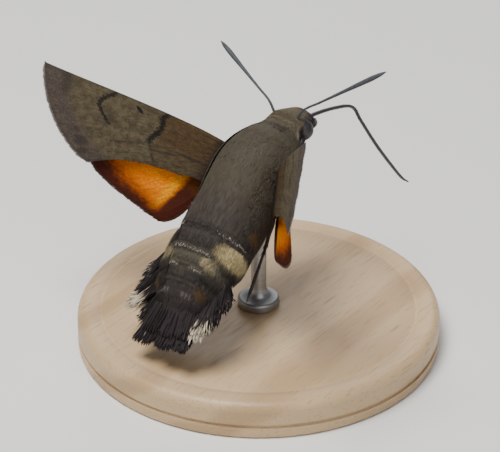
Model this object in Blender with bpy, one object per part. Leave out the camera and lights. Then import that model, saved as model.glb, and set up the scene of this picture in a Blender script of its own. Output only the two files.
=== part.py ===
"""Hummingbird hawk moth, hovering with its wings raised, on a small display stand.

Metres, +Z up. The origin is the middle of the stand's underside, and the moth heads along -Y.
The moth is drawn in its own frame, in millimetres: x runs forward along the body, y to its left
and z out of its back, from the middle of the thorax. One empty then poses it over the stand.
"""
import math
import random

import bmesh
import bpy
from mathutils import Matrix, Vector

MM = 0.001
GAP = 0.3

# Pose over the stand
PITCH_UP = 36.5
ROLL_LEFT = 7.2
HEADING = -90.0
THORAX_ABOVE_BASE = 17.0

# Body sections: place along the body, half width, half height and height of the middle
HEAD_SECTIONS = (
    (6.65, 0.65, 0.55, -2.00),
    (6.45, 1.20, 0.95, -1.95),
    (6.05, 1.70, 1.35, -1.80),
    (5.50, 2.05, 1.70, -1.55),
    (4.80, 2.32, 2.12, -1.25),
    (4.10, 2.44, 2.18, -1.05),
    (3.25, 2.57, 2.31, -0.80),
)
THORAX_SECTIONS = (
    (2.95, 2.72, 2.47, -0.69),
    (2.60, 2.90, 2.68, -0.55),
    (2.20, 3.08, 2.88, -0.40),
    (1.20, 3.54, 3.38, -0.18),
    (-0.30, 4.10, 3.93, -0.04),
    (-2.20, 4.45, 4.20, 0.00),
    (-4.30, 4.46, 4.12, -0.08),
    (-6.40, 4.40, 4.00, -0.25),
)
ABDOMEN_PROFILE = (
    (-6.70, 4.38, 3.95, -0.28),
    (-8.60, 4.40, 3.87, -0.40),
    (-10.50, 4.40, 3.74, -0.48),
    (-12.90, 4.28, 3.40, -0.57),
    (-14.70, 3.95, 2.90, -0.63),
    (-16.40, 3.45, 2.28, -0.69),
    (-17.90, 2.95, 1.60, -0.75),
)
BODY_SIDES = 26
RING_STEP = 0.20
RING_SLOPE = 0.16

# Eyes, set into the sides of the head
EYE_RADIUS = 1.15
EYE_PLACE = (4.42, 1.45, -1.60)

# Feelers
ANTENNA_ROOT = (4.55, 1.45, -0.15)
ANTENNA_TIPS = {"left": (9.9, 11.0, 2.4), "right": (11.25, -10.45, 2.4)}
ANTENNA_RADII = ((0.0, 0.25), (0.44, 0.25), (0.59, 0.29), (0.75, 0.34), (0.90, 0.34), (1.0, 0.12))
ANTENNA_BEND = (5.5, 2.35, 0.85)

# Palps, either side of the proboscis
PALP_PATH = ((5.1, 0.78, -2.75), (6.0, 0.80, -3.35), (6.4, 0.75, -3.25))
PALP_RADII = ((0.0, 0.44), (0.45, 0.44), (0.8, 0.38), (1.0, 0.20))

# Proboscis, bent once at its knee
PROBOSCIS_PATH = (
    (5.6, 0.0, -2.75),
    (7.1, 0.0, -3.55),
    (9.65, 0.0, -6.1),
    (11.3, 0.0, -8.5),
    (11.1, 0.0, -11.0),
    (10.7, 0.0, -15.7),
    (10.6, 0.0, -21.5),
    (10.9, 0.0, -23.3),
)
PROBOSCIS_KNEE = 0.40
PROBOSCIS_RADIUS = 0.26

# Legs: the left one of each pair from its root round its knee, the third point, to its foot
LEGS = {
    "front": ((-0.2, 0.6, -3.4), (1.0, 0.6, -4.55), (1.9, 0.6, -4.95), (1.0, 0.6, -5.4),
              (-1.1, 0.5, -5.45)),
    "middle": ((-2.9, 1.4, -3.4), (-1.7, 1.4, -4.5), (-0.8, 1.4, -4.95), (-1.7, 1.4, -5.4),
               (-4.1, 1.35, -5.5)),
    "hind": ((-3.8, 1.7, -2.9), (-5.1, 2.0, -4.1), (-6.5, 2.2, -4.5), (-8.5, 2.65, -4.7),
             (-13.9, 3.45, -5.3)),
}
THIGH_RADII = ((0.0, 0.34), (0.5, 0.32), (1.0, 0.27))
SHIN_RADII = ((0.0, 0.26), (0.6, 0.25), (1.0, 0.20))

# Wings: both pairs raised from hinges on the thorax, flown with the rear edge down
WING_POSES = {
    "forewing_left": {"hinge": (0.0, 3.3, 1.4), "raised": 45.0, "pitch": 24.0, "sweep": 0.0, "drop": 0.0},
    "forewing_right": {"hinge": (-1.4, -3.7, 1.55), "raised": 51.4, "pitch": 24.0, "sweep": 0.4, "drop": 0.0},
    "hindwing_left": {"hinge": (0.0, 3.3, 1.4), "raised": 45.0, "pitch": 24.0, "sweep": 0.0, "drop": 1.0},
    "hindwing_right": {"hinge": (1.1, -2.7, 1.55), "raised": 46.2, "pitch": 22.0, "sweep": -23.4, "drop": 0.8},
}
WING_THICKNESS = 0.5
WING_DROOP = 0.001
WING_CAMBER = 0.008
VEIN_HEIGHT = 0.1
VEIN_HALF_WIDTH = 0.014
WING_ROOT_INSIDE = 1.6

# Wing outlines as curves: distance out from the hinge, distance back from it
FOREWING = {
    "leading": ((0.0, 0.6), (6.5, 0.8), (15.0, 2.6), (20.5, 3.4)),
    "trailing": ((0.0, 5.1), (3.0, 6.3), (8.0, 6.2), (11.6, 9.95)),
    "outer": ((20.5, 3.4), (18.9, 6.4), (15.6, 9.3), (11.6, 9.95)),
    "veins": (0.06, 0.15, 0.25, 0.36, 0.47, 0.58, 0.69, 0.84),
    "stems": (0.06, 0.25, 0.58, 0.84),
    "cell_veins": (0.25, 0.58),
    "rows": (0.0, 0.14, 0.28, 0.40, 0.44, 0.48, 0.60, 0.74, 0.88, 1.0),
    "cell_row": 4,
}
HINDWING = {
    "leading": ((0.0, 4.6), (4.0, 4.4), (9.0, 6.2), (11.8, 8.9)),
    "trailing": ((0.1, 6.6), (0.1, 8.6), (0.5, 10.9), (2.2, 11.5)),
    "outer": ((11.8, 8.9), (10.8, 11.0), (6.3, 10.9), (2.2, 11.5)),
    "veins": (0.10, 0.26, 0.42, 0.58, 0.74, 0.90),
    "stems": (0.10, 0.26, 0.58, 0.90),
    "cell_veins": (0.26, 0.58),
    "rows": (0.0, 0.2, 0.38, 0.44, 0.50, 0.72, 1.0),
    "cell_row": 3,
}

# Tail: a flat core behind the abdomen, and the fan of locks that grows from it in tiers
TAIL_SECTIONS = (
    (-18.20, 2.80, 1.30, -0.78),
    (-18.90, 2.80, 0.95, -0.84),
    (-19.80, 2.60, 0.60, -0.90),
    (-20.60, 2.30, 0.36, -0.94),
)
TAIL_TIERS = (
    {"root": -18.9, "end": -21.9, "half_width": 3.15, "rise": 0.34, "locks": 8, "width": 1.15},
    {"root": -19.5, "end": -23.1, "half_width": 3.35, "rise": 0.0, "locks": 9, "width": 1.1},
    {"root": -18.9, "end": -22.2, "half_width": 3.1, "rise": -0.34, "locks": 8, "width": 1.15},
)
TAIL_ROOT_HALF_WIDTH = 2.35
TAIL_NOTCHES = ((0.27, 0.75), (-0.5, 0.3))
TAIL_NOTCH_REACH = 0.16
TAIL_ROUND = 0.2
TAIL_SLANT = 0.25
LOCK_THICKNESS = 0.55
LOCK_TAPER = ((0.0, 0.72), (0.35, 1.0), (0.8, 0.92), (1.0, 0.45))

# Side tufts of the abdomen: for each tier and side, its place on the flank and its furthest tip
TUFT_TIERS = (
    {"left": (-12.3, (-16.2, 6.8, -0.8)), "right": (-13.9, (-16.8, 5.4, -0.9)), "locks": 6},
    {"left": (-14.3, (-18.1, 6.7, -0.9)), "right": (-14.8, (-18.9, 4.9, -1.0)), "locks": 6},
    {"left": (-16.1, (-19.7, 6.8, -0.9)), "right": (-16.1, (-19.9, 4.6, -0.9)), "locks": 6},
)
TUFT_ANGLES = (78.0, 118.0)
TUFT_DROP = 1.1
TUFT_WIDTH = 1.45
TUFT_EDGE_REACH = 0.62
TUFT_SHORT_BELOW = 0.9
TUFT_SEED = 7

# Stand
BASE_RADIUS = 19.0
BASE_THICKNESS = 4.0
BASE_EDGE = 1.0
ROD_RADIUS = 0.8
BELLY_OVER_ROD = (-5.0, 0.0, -4.2)
FOOT_RADIUS = 2.2
FOOT_HEIGHT = 0.9

COLOURS = {
    "head": ((0.105, 0.085, 0.065), 0.9, 0.0),
    "thorax": ((0.110, 0.088, 0.062), 0.9, 0.0),
    "abdomen": ((0.045, 0.033, 0.030), 0.9, 0.0),
    "tail": ((0.016, 0.011, 0.012), 0.9, 0.0),
    "eye": ((0.030, 0.018, 0.015), 0.25, 0.0),
    "antenna": ((0.025, 0.028, 0.034), 0.7, 0.0),
    "palp": ((0.080, 0.062, 0.060), 0.9, 0.0),
    "proboscis": ((0.012, 0.011, 0.012), 0.4, 0.0),
    "leg": ((0.040, 0.033, 0.028), 0.8, 0.0),
    "forewing": ((0.150, 0.115, 0.075), 0.8, 0.0),
    "hindwing": ((0.700, 0.250, 0.020), 0.8, 0.0),
    "base": ((0.620, 0.450, 0.270), 0.45, 0.0),
    "rod": ((0.560, 0.570, 0.580), 0.3, 1.0),
}


def clear_scene():
    for item in list(bpy.data.objects):
        bpy.data.objects.remove(item)


def principled(name, kind):
    colour, roughness, metallic = COLOURS[kind]
    material = bpy.data.materials.new(name)
    material.use_nodes = True
    shader = material.node_tree.nodes["Principled BSDF"]
    shader.inputs["Base Color"].default_value = (*colour, 1.0)
    shader.inputs["Roughness"].default_value = roughness
    shader.inputs["Metallic"].default_value = metallic
    return material


def solid(name, kind, points, faces, smooth_angle=50.0):
    """One object from points in millimetres, with its faces turned outward."""
    mesh = bpy.data.meshes.new(name)
    mesh.from_pydata([Vector(point) * MM for point in points], [], faces)
    shape = bmesh.new()
    shape.from_mesh(mesh)
    bmesh.ops.recalc_face_normals(shape, faces=shape.faces)
    shape.to_mesh(mesh)
    shape.free()
    mesh.shade_smooth()
    mesh.set_sharp_from_angle(angle=math.radians(smooth_angle))
    mesh.materials.append(principled(name, kind))
    item = bpy.data.objects.new(name, mesh)
    bpy.context.scene.collection.objects.link(item)
    return item


def loft(name, kind, rings, smooth_angle=50.0):
    """Closed skin over rings of equal count, with a flat face at each end."""
    count = len(rings[0])
    points = [point for ring in rings for point in ring]
    faces = [list(range(count)), [len(points) - count + i for i in range(count)][::-1]]
    for k in range(len(rings) - 1):
        for i in range(count):
            j = (i + 1) % count
            faces.append((k * count + i, (k + 1) * count + i, (k + 1) * count + j, k * count + j))
    return solid(name, kind, points, faces, smooth_angle)


def body_ring(section, grow=0.0):
    x, half_width, half_height, middle = section
    ring = []
    for i in range(BODY_SIDES):
        angle = 2 * math.pi * i / BODY_SIDES
        y = (half_width + grow) * math.sin(angle)
        z = middle + (half_height + grow) * math.cos(angle)
        ring.append((x, y, z))
    return ring


def blend(table, place):
    """Straight blend in a table of rows that start with a rising or falling place."""
    rows = sorted(table)
    if place <= rows[0][0]:
        return rows[0][1:]
    for low, high in zip(rows, rows[1:]):
        if place <= high[0]:
            part = (place - low[0]) / (high[0] - low[0])
            return tuple(a + (b - a) * part for a, b in zip(low[1:], high[1:]))
    return rows[-1][1:]


def curve_point(path, part):
    """Point on the smooth curve through the path's points, by Catmull-Rom."""
    spans = len(path) - 1
    place = min(max(part, 0.0), 1.0) * spans
    k = min(int(place), spans - 1)
    u = place - k
    p1 = Vector(path[k])
    p2 = Vector(path[k + 1])
    p0 = Vector(path[k - 1]) if k > 0 else p1 * 2 - p2
    p3 = Vector(path[k + 2]) if k + 2 <= spans else p2 * 2 - p1
    return 0.5 * (p1 * 2 + (p2 - p0) * u + (p0 * 2 - p1 * 5 + p2 * 4 - p3) * u * u
                  + (p1 * 3 - p0 - p2 * 3 + p3) * u ** 3)


def bezier(handles, part):
    a, b, c, d = (Vector(handle) for handle in handles)
    rest = 1.0 - part
    return (a * rest ** 3 + b * 3 * rest ** 2 * part
            + c * 3 * rest * part ** 2 + d * part ** 3)


def tube_rings(path, radii, start, end, stations, sides):
    """Rings square to the path between two parts of its length."""
    rings = []
    step = 0.004
    for k in range(stations):
        part = start + (end - start) * k / (stations - 1)
        centre = curve_point(path, part)
        along = (curve_point(path, part + step) - curve_point(path, part - step)).normalized()
        across = along.cross(Vector((0.31, 0.17, 1.0))).normalized()
        above = across.cross(along)
        radius = blend(radii, (part - start) / (end - start))[0]
        ring = []
        for i in range(sides):
            angle = 2 * math.pi * i / sides
            ring.append(centre + (across * math.cos(angle) + above * math.sin(angle)) * radius)
        rings.append(ring)
    return rings


def tube(name, kind, path, radii, stations, sides=8, start=0.0, end=1.0):
    return loft(name, kind, tube_rings(path, radii, start, end, stations, sides))


def apply_modifiers(item):
    view = bpy.context.evaluated_depsgraph_get()
    mesh = bpy.data.meshes.new_from_object(item.evaluated_get(view))
    item.modifiers.clear()
    item.data = mesh


def group_area(group):
    return sum(face.calc_area() for face in {face for point in group for face in point.link_faces})


def keep_largest(item):
    """Keep only the closed surface that spans the most room."""
    shape = bmesh.new()
    shape.from_mesh(item.data)
    shape.verts.ensure_lookup_table()
    unseen = set(shape.verts)
    groups = []
    while unseen:
        group = set()
        waiting = [unseen.pop()]
        while waiting:
            point = waiting.pop()
            group.add(point)
            for edge in point.link_edges:
                other = edge.other_vert(point)
                if other in unseen:
                    unseen.remove(other)
                    waiting.append(other)
        groups.append(group)
    groups.sort(key=group_area)
    for group in groups[:-1]:
        bmesh.ops.delete(shape, geom=list(group), context="VERTS")
    shape.to_mesh(item.data)
    shape.free()


def grown(item, distance):
    """A copy of a convex piece with every face moved out, for cutting its neighbours."""
    mesh = item.data.copy()
    shape = bmesh.new()
    shape.from_mesh(mesh)
    shape.normal_update()
    moved = [(point, point.co + point.normal * distance * MM * point.calc_shell_factor())
             for point in shape.verts]
    for point, place in moved:
        point.co = place
    shape.to_mesh(mesh)
    shape.free()
    cutter = bpy.data.objects.new(item.name + "_grown", mesh)
    bpy.context.scene.collection.objects.link(cutter)
    cutter.hide_render = True
    cutter.display_type = "WIRE"
    return cutter


def cut(item, cutter):
    """Take the cutter's shape out of a piece and keep the largest part."""
    modifier = item.modifiers.new("cut", "BOOLEAN")
    modifier.operation = "DIFFERENCE"
    modifier.object = cutter
    modifier.solver = "EXACT"
    apply_modifiers(item)
    keep_largest(item)


def fuse(item, pieces):
    """Join closed pieces to the one that they grow from."""
    group = bpy.data.collections.new(item.name + "_pieces")
    for piece in pieces:
        group.objects.link(piece)
    modifier = item.modifiers.new("fuse", "BOOLEAN")
    modifier.operation = "UNION"
    modifier.operand_type = "COLLECTION"
    modifier.collection = group
    modifier.solver = "EXACT"
    apply_modifiers(item)
    for piece in pieces:
        bpy.data.objects.remove(piece)
    bpy.data.collections.remove(group)
    keep_largest(item)


def mirrored(points, side):
    flip = 1.0 if side == "left" else -1.0
    return tuple((x, y * flip, z) for x, y, z in points)


def make_eye(side):
    place = Vector(mirrored((EYE_PLACE,), side)[0]) * MM
    shape = bmesh.new()
    turn = Matrix.Translation(place) @ Matrix.Rotation(math.radians(90), 4, "X")
    bmesh.ops.create_uvsphere(shape, u_segments=16, v_segments=10, radius=EYE_RADIUS * MM, matrix=turn)
    mesh = bpy.data.meshes.new("eye_" + side)
    shape.to_mesh(mesh)
    shape.free()
    mesh.shade_smooth()
    mesh.materials.append(principled("eye_" + side, "eye"))
    eye = bpy.data.objects.new("eye_" + side, mesh)
    bpy.context.scene.collection.objects.link(eye)
    return eye


def abdomen_rings():
    """Segments like short cups, each with its hind rim stepped over the next."""
    rings = []
    for k in range(len(ABDOMEN_PROFILE) - 1):
        front = ABDOMEN_PROFILE[k]
        back = ABDOMEN_PROFILE[k + 1]
        middle = tuple((a + b) / 2 for a, b in zip(front, back))
        tuck = -RING_STEP if k > 0 else 0.0
        start = (front[0] - (RING_SLOPE if k > 0 else 0.0), *front[1:])
        rings.append(body_ring(start, tuck))
        rings.append(body_ring(middle, RING_STEP * 0.1))
        rings.append(body_ring(back))
    return rings


def lock(path, flat, width, thickness, stations=4, sides=6):
    """A flat tapered lock along a path, square to the direction that its face looks in."""
    rings = []
    step = 0.02
    for k in range(stations):
        part = k / (stations - 1)
        centre = curve_point(path, part)
        along = (curve_point(path, part + step) - curve_point(path, part - step)).normalized()
        across = along.cross(flat).normalized()
        above = across.cross(along)
        taper = blend(LOCK_TAPER, part)[0]
        half_width = 0.5 * width * taper
        half_thickness = 0.5 * thickness * (0.4 + 0.6 * taper)
        ring = []
        for i in range(sides):
            angle = 2 * math.pi * i / sides
            ring.append(centre + across * half_width * math.cos(angle)
                        + above * half_thickness * math.sin(angle))
        rings.append(ring)
    return loft("lock", "tail", rings)


def flank(x, angle, depth):
    """Point under the abdomen's surface, by its angle from the top of the back."""
    half_width, half_height, middle = blend(ABDOMEN_PROFILE, x)
    turn = math.radians(angle)
    inward = 1.0 - depth
    return Vector((x, half_width * inward * math.sin(turn), middle + half_height * inward * math.cos(turn)))


def side_tufts(side, chance):
    """Locks in tiers down each flank, upper ones shorter, all swept back and out."""
    tufts = []
    for tier in TUFT_TIERS:
        place, furthest = tier[side]
        for k in range(tier["locks"]):
            part = k / (tier["locks"] - 1)
            angle = TUFT_ANGLES[0] + (TUFT_ANGLES[1] - TUFT_ANGLES[0]) * part
            root = flank(place - 0.12 * k, angle, 0.26)
            tip = Vector(furthest)
            reach = TUFT_EDGE_REACH + (1.0 - TUFT_EDGE_REACH) * math.sin(math.pi * part)
            tip.y = root.y + (tip.y - root.y) * reach
            tip.x += TUFT_SHORT_BELOW * part * part + chance.uniform(-0.25, 0.25)
            tip.z += 0.35 - TUFT_DROP * part + chance.uniform(-0.08, 0.08)
            middle = flank(place - 1.5, angle, -0.06).lerp((root + tip) / 2, 0.35)
            flat = Vector((0.0, 0.45, 1.0)) if angle < 100.0 else Vector((0.0, -0.35, 1.0))
            path = mirrored((root, middle, tip), side)
            flat = Vector(mirrored((flat,), side)[0])
            width = TUFT_WIDTH * chance.uniform(0.9, 1.1)
            tufts.append(lock(path, flat, width, LOCK_THICKNESS))
    return tufts


def tail_reach(tier, across, chance):
    """How far back a lock of the fan ends: the fan is notched between its three lobes."""
    end = tier["end"] + TAIL_ROUND * across * across - TAIL_SLANT * across
    for place, depth in TAIL_NOTCHES:
        if abs(across - place) < TAIL_NOTCH_REACH:
            end += depth
    return end + chance.uniform(-0.12, 0.12)


def tail_locks(chance):
    """The fan's locks, spread from side to side in an upper, a middle and a lower tier."""
    locks = []
    for tier in TAIL_TIERS:
        for k in range(tier["locks"]):
            across = 2 * k / (tier["locks"] - 1) - 1
            width, height, middle = blend(TAIL_SECTIONS, tier["root"])
            root = Vector((tier["root"], across * TAIL_ROOT_HALF_WIDTH, middle + tier["rise"] * 0.6))
            end = tail_reach(tier, across, chance)
            tip = Vector((end, across * tier["half_width"], -1.0 + tier["rise"] * 0.9))
            bend = (root + tip) / 2 + Vector((0.0, 0.12 * across, tier["rise"] * 0.5))
            size = tier["width"] * chance.uniform(0.92, 1.08)
            locks.append(lock((root, bend, tip), Vector((0.0, 0.0, 1.0)), size, LOCK_THICKNESS))
    return locks


def wing_lines(wing):
    """Lines from root to outer edge: each vein on a line between two that stay low."""
    lines = {0.0: None, 1.0: None}
    for vein in wing["veins"]:
        lines[vein - VEIN_HALF_WIDTH] = None
        lines[vein] = vein
        lines[vein + VEIN_HALF_WIDTH] = None
    return sorted(lines.items())


def wing_place(wing, out, line):
    """Patch between the wing's four edges: out 0 to 1 from the root, line 0 to 1 from the front."""
    leading = bezier(wing["leading"], out)
    trailing = bezier(wing["trailing"], out)
    outer = bezier(wing["outer"], line)
    root_front = Vector(wing["leading"][0])
    root_rear = Vector(wing["trailing"][0])
    root = root_front.lerp(root_rear, line)
    apex = Vector(wing["outer"][0])
    corner = Vector(wing["outer"][3])
    ruled = leading.lerp(trailing, line) + root.lerp(outer, out)
    corners = root_front.lerp(root_rear, line).lerp(apex.lerp(corner, line), out)
    return ruled - corners


def wing_frame(pose):
    """Directions out along the wing, back across it and up from its face."""
    outward = math.copysign(1.0, pose["hinge"][1])
    raised = math.radians(pose["raised"])
    pitch = math.radians(pose["pitch"])
    out = Vector((0.0, outward * math.cos(raised), math.sin(raised)))
    level_up = Vector((0.0, -outward * math.sin(raised), math.cos(raised)))
    back = Vector((-1.0, 0.0, 0.0)) * math.cos(pitch) - level_up * math.sin(pitch)
    up = level_up * math.cos(pitch) - Vector((1.0, 0.0, 0.0)) * math.sin(pitch)
    sweep = math.radians(pose["sweep"])
    swept_out = out * math.cos(sweep) - back * math.sin(sweep)
    swept_back = out * math.sin(sweep) + back * math.cos(sweep)
    return swept_out, swept_back, up


def vein_rise(wing, row, vein):
    """Veins stand up along their lines, and the cell is closed by a cross vein."""
    if vein is None:
        return 0.0
    if row == wing["cell_row"]:
        low, high = wing["cell_veins"]
        if low <= vein <= high:
            return VEIN_HEIGHT
    in_cell = row < wing["cell_row"]
    if in_cell and vein not in wing["stems"]:
        return 0.0
    return VEIN_HEIGHT


def make_wing(kind, wing, side):
    pose = WING_POSES[kind + "_" + side]
    out_way, back_way, up_way = wing_frame(pose)
    hinge = Vector(pose["hinge"]) - up_way * pose["drop"]
    lines = wing_lines(wing)
    rows = wing["rows"]
    top = []
    bottom = []
    for row, out in enumerate(rows):
        for line, vein in lines:
            place = wing_place(wing, out, line)
            if row == 0:
                place = place - Vector((WING_ROOT_INSIDE, 0.0))
            bend = WING_DROOP * place.x ** 2 + WING_CAMBER * (place.y - 4.0) ** 2
            middle = hinge + out_way * place.x + back_way * place.y - up_way * bend
            lift = up_way * (WING_THICKNESS / 2 + vein_rise(wing, row, vein))
            top.append(middle + lift)
            bottom.append(middle - lift)
    count = len(lines)
    half = len(top)
    faces = []
    for row in range(len(rows) - 1):
        for k in range(count - 1):
            a = row * count + k
            b, c, d = a + 1, a + count + 1, a + count
            faces += [(a, b, c), (a, c, d), (half + a, half + c, half + b), (half + a, half + d, half + c)]
    rim = list(range(count))
    rim += [row * count + count - 1 for row in range(1, len(rows))]
    rim += [(len(rows) - 1) * count + k for k in range(count - 2, -1, -1)]
    rim += [row * count for row in range(len(rows) - 2, 0, -1)]
    for a, b in zip(rim, rim[1:] + rim[:1]):
        faces.append((a, half + a, half + b, b))
    return solid(kind + "_" + side, kind, top + bottom, faces, 30.0)


def parts_at(path, middle, half_gap):
    """The two parts of a path that lie half a gap before and after a middle one."""
    step = 0.01
    run = (curve_point(path, middle + step) - curve_point(path, middle - step)).length
    away = half_gap * 2 * step / run
    return middle - away, middle + away


def make_leg(name, path, clear_of):
    """Thigh from the body to the knee, then shin and foot in one, a thin gap apart."""
    knee_start, knee_end = parts_at(path, 0.5, GAP / 2)
    upper = tube("leg_" + name + "_upper", "leg", path, THIGH_RADII, 7, 8, 0.0, knee_start)
    lower = tube("leg_" + name + "_lower", "leg", path, SHIN_RADII, 8, 8, knee_end, 1.0)
    cut(upper, clear_of)
    return [upper, lower]


def make_antenna(side, clear_of):
    root, bend = (Vector(point) for point in mirrored((ANTENNA_ROOT, ANTENNA_BEND), side))
    tip = Vector(ANTENNA_TIPS[side])
    path = [root] + [bend.lerp(tip, k / 5) for k in range(6)]
    antenna = tube("antenna_" + side, "antenna", path, ANTENNA_RADII, 14)
    cut(antenna, clear_of)
    return antenna


def lathe(name, kind, profile, sides):
    """Turned piece from a profile of radius and height, closed flat at both ends."""
    rings = []
    for radius, height in profile:
        ring = []
        for i in range(sides):
            angle = 2 * math.pi * i / sides
            ring.append((radius * math.cos(angle), radius * math.sin(angle), height))
        rings.append(ring)
    return loft(name, kind, rings, 35.0)


def base_profile():
    profile = [(BASE_RADIUS - 0.4, 0.0), (BASE_RADIUS, 0.4)]
    for k in range(6):
        angle = math.radians(90 * k / 5)
        inset = BASE_EDGE * (1 - math.cos(angle))
        rise = BASE_EDGE * math.sin(angle)
        profile.append((BASE_RADIUS - inset, BASE_THICKNESS - BASE_EDGE + rise))
    return profile


def rod_profile(top):
    bottom = BASE_THICKNESS + GAP
    return [
        (FOOT_RADIUS, bottom),
        (FOOT_RADIUS, bottom + FOOT_HEIGHT * 0.7),
        (FOOT_RADIUS * 0.85, bottom + FOOT_HEIGHT),
        (ROD_RADIUS * 1.4, bottom + FOOT_HEIGHT + 0.3),
        (ROD_RADIUS, bottom + FOOT_HEIGHT + 1.0),
        (ROD_RADIUS, top),
    ]


def pose_empty():
    pose = bpy.data.objects.new("moth_pose", None)
    bpy.context.scene.collection.objects.link(pose)
    turn = (math.radians(-ROLL_LEFT), math.radians(-PITCH_UP), math.radians(HEADING))
    pose.rotation_euler = turn
    belly = pose.rotation_euler.to_matrix() @ Vector(BELLY_OVER_ROD)
    pose.location = Vector((-belly.x, -belly.y, BASE_THICKNESS + THORAX_ABOVE_BASE)) * MM
    return pose


def build():
    clear_scene()
    moth = []
    head = loft("head", "head", [body_ring(section) for section in HEAD_SECTIONS])
    thorax = loft("thorax", "thorax", [body_ring(section) for section in THORAX_SECTIONS])
    abdomen = loft("abdomen", "abdomen", abdomen_rings(), 25.0)
    head_grown = grown(head, GAP)
    thorax_grown = grown(thorax, GAP)
    chance = random.Random(TUFT_SEED)
    fuse(abdomen, side_tufts("left", chance) + side_tufts("right", chance))
    tail = loft("tail_fan", "tail", [body_ring(section) for section in TAIL_SECTIONS])
    fuse(tail, tail_locks(chance))
    moth += [head, thorax, abdomen, tail]

    for side in ("left", "right"):
        eye = make_eye(side)
        eye_grown = grown(eye, GAP)
        cut(head, eye_grown)
        bpy.data.objects.remove(eye_grown)
        palp = tube("palp_" + side, "palp", mirrored(PALP_PATH, side), PALP_RADII, 6)
        cut(palp, head_grown)
        moth += [eye, palp, make_antenna(side, head_grown)]
        for name, path in LEGS.items():
            moth += make_leg(name + "_" + side, mirrored(path, side), thorax_grown)
        forewing = make_wing("forewing", FOREWING, side)
        hindwing = make_wing("hindwing", HINDWING, side)
        cut(forewing, thorax_grown)
        cut(hindwing, thorax_grown)
        moth += [forewing, hindwing]

    knee_start, knee_end = parts_at(PROBOSCIS_PATH, PROBOSCIS_KNEE, GAP / 2)
    thin = ((0.0, PROBOSCIS_RADIUS), (1.0, PROBOSCIS_RADIUS))
    upper = tube("proboscis_upper", "proboscis", PROBOSCIS_PATH, thin, 9, 8, 0.0, knee_start)
    lower = tube("proboscis_lower", "proboscis", PROBOSCIS_PATH, thin, 13, 8, knee_end, 1.0)
    cut(upper, head_grown)
    moth += [upper, lower]

    pose = pose_empty()
    for item in moth + [thorax_grown]:
        item.parent = pose
    bpy.context.view_layer.update()

    lathe("stand_base", "base", base_profile(), 48)
    rod = lathe("stand_rod", "rod", rod_profile(BASE_THICKNESS + THORAX_ABOVE_BASE), 20)
    cut(rod, thorax_grown)
    for cutter in (head_grown, thorax_grown):
        bpy.data.objects.remove(cutter)


build()
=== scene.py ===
"""Looks of a hummingbird hawk moth on its display stand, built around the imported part.

Metres, +Z up. The moth is drawn in its own frame, in millimetres: x runs forward along the body,
y to its left and z out of its back, from the middle of the thorax. One matrix poses it.
"""
import math

import bpy
import numpy as np
from mathutils import Euler, Matrix, Vector


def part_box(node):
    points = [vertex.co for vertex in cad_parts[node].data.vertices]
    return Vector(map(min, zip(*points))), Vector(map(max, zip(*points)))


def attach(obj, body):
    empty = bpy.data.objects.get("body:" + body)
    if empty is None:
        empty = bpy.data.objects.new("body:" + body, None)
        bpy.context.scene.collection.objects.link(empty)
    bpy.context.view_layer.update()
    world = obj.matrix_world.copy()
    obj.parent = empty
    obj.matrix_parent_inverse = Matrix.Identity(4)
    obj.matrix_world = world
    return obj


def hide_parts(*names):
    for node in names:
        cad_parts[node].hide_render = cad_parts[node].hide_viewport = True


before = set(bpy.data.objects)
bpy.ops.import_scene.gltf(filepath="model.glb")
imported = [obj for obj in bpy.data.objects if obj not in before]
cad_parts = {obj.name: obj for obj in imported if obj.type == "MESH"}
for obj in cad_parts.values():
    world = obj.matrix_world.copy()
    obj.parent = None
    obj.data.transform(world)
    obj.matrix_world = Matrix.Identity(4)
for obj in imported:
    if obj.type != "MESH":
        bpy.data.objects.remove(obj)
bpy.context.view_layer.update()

bl_info = {
    "name": "Hummingbird hawk moth",
    "version": (1, 0, 0),
    "blender": (4, 5, 0),
    "location": "3D View > Sidebar > Hawk moth",
    "description": "Builds the coat, wings, feelers, stand and stage of a hawk moth model",
    "category": "Object",
}

MM = 0.001
SIDES = ("left", "right")

# Pose over the stand, in degrees and millimetres
PITCH_UP = 36.5
ROLL_LEFT = 7.2
HEADING = -90.0
THORAX_ABOVE_BASE = 17.0
BELLY_OVER_ROD = (-5.0, 0.0, -4.2)

# Body sections: place along the body, half width, half height and height of the middle
BODY_SECTIONS = (
    (6.74, 0.12, 0.12, -2.00),
    (6.65, 0.65, 0.55, -2.00),
    (6.45, 1.20, 0.95, -1.95),
    (6.05, 1.70, 1.35, -1.80),
    (5.50, 2.05, 1.80, -1.53),
    (4.80, 2.34, 2.22, -1.22),
    (4.10, 2.50, 2.34, -1.02),
    (3.40, 2.64, 2.44, -0.84),
    (2.85, 2.84, 2.64, -0.64),
    (2.20, 3.08, 2.88, -0.40),
    (1.20, 3.54, 3.38, -0.18),
    (-0.30, 4.10, 3.93, -0.04),
    (-2.20, 4.45, 4.20, 0.00),
    (-4.30, 4.46, 4.12, -0.08),
    (-6.70, 4.38, 3.97, -0.28),
    (-8.60, 4.40, 3.87, -0.40),
    (-10.50, 4.40, 3.74, -0.48),
    (-12.90, 4.28, 3.40, -0.57),
    (-14.70, 3.95, 2.90, -0.63),
    (-16.40, 3.45, 2.28, -0.69),
    (-17.90, 2.90, 1.50, -0.76),
    (-18.90, 2.72, 0.92, -0.84),
    (-19.80, 2.52, 0.56, -0.90),
    (-20.60, 2.20, 0.30, -0.94),
)
BODY_ROUND = 4.4
SEGMENT_EDGES = (-10.5, -12.9, -14.7, -16.4, -17.9, -19.0)
SEGMENT_STEP = 0.03
# Pale scale tips along the segments' hind edges: the edge, and the angles from the back that they span
PALE_TIP = (0.52, 0.47, 0.40)
PALE_RIMS = ((-10.5, 35.0, 105.0), (-12.9, 0.0, 40.0), (-14.7, 12.0, 36.0))
SHOULDER_INNER = ((-5.6, 42.0), (-2.1, 29.0), (2.6, 24.0))
SHOULDER_OUTER = 74.0

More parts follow.
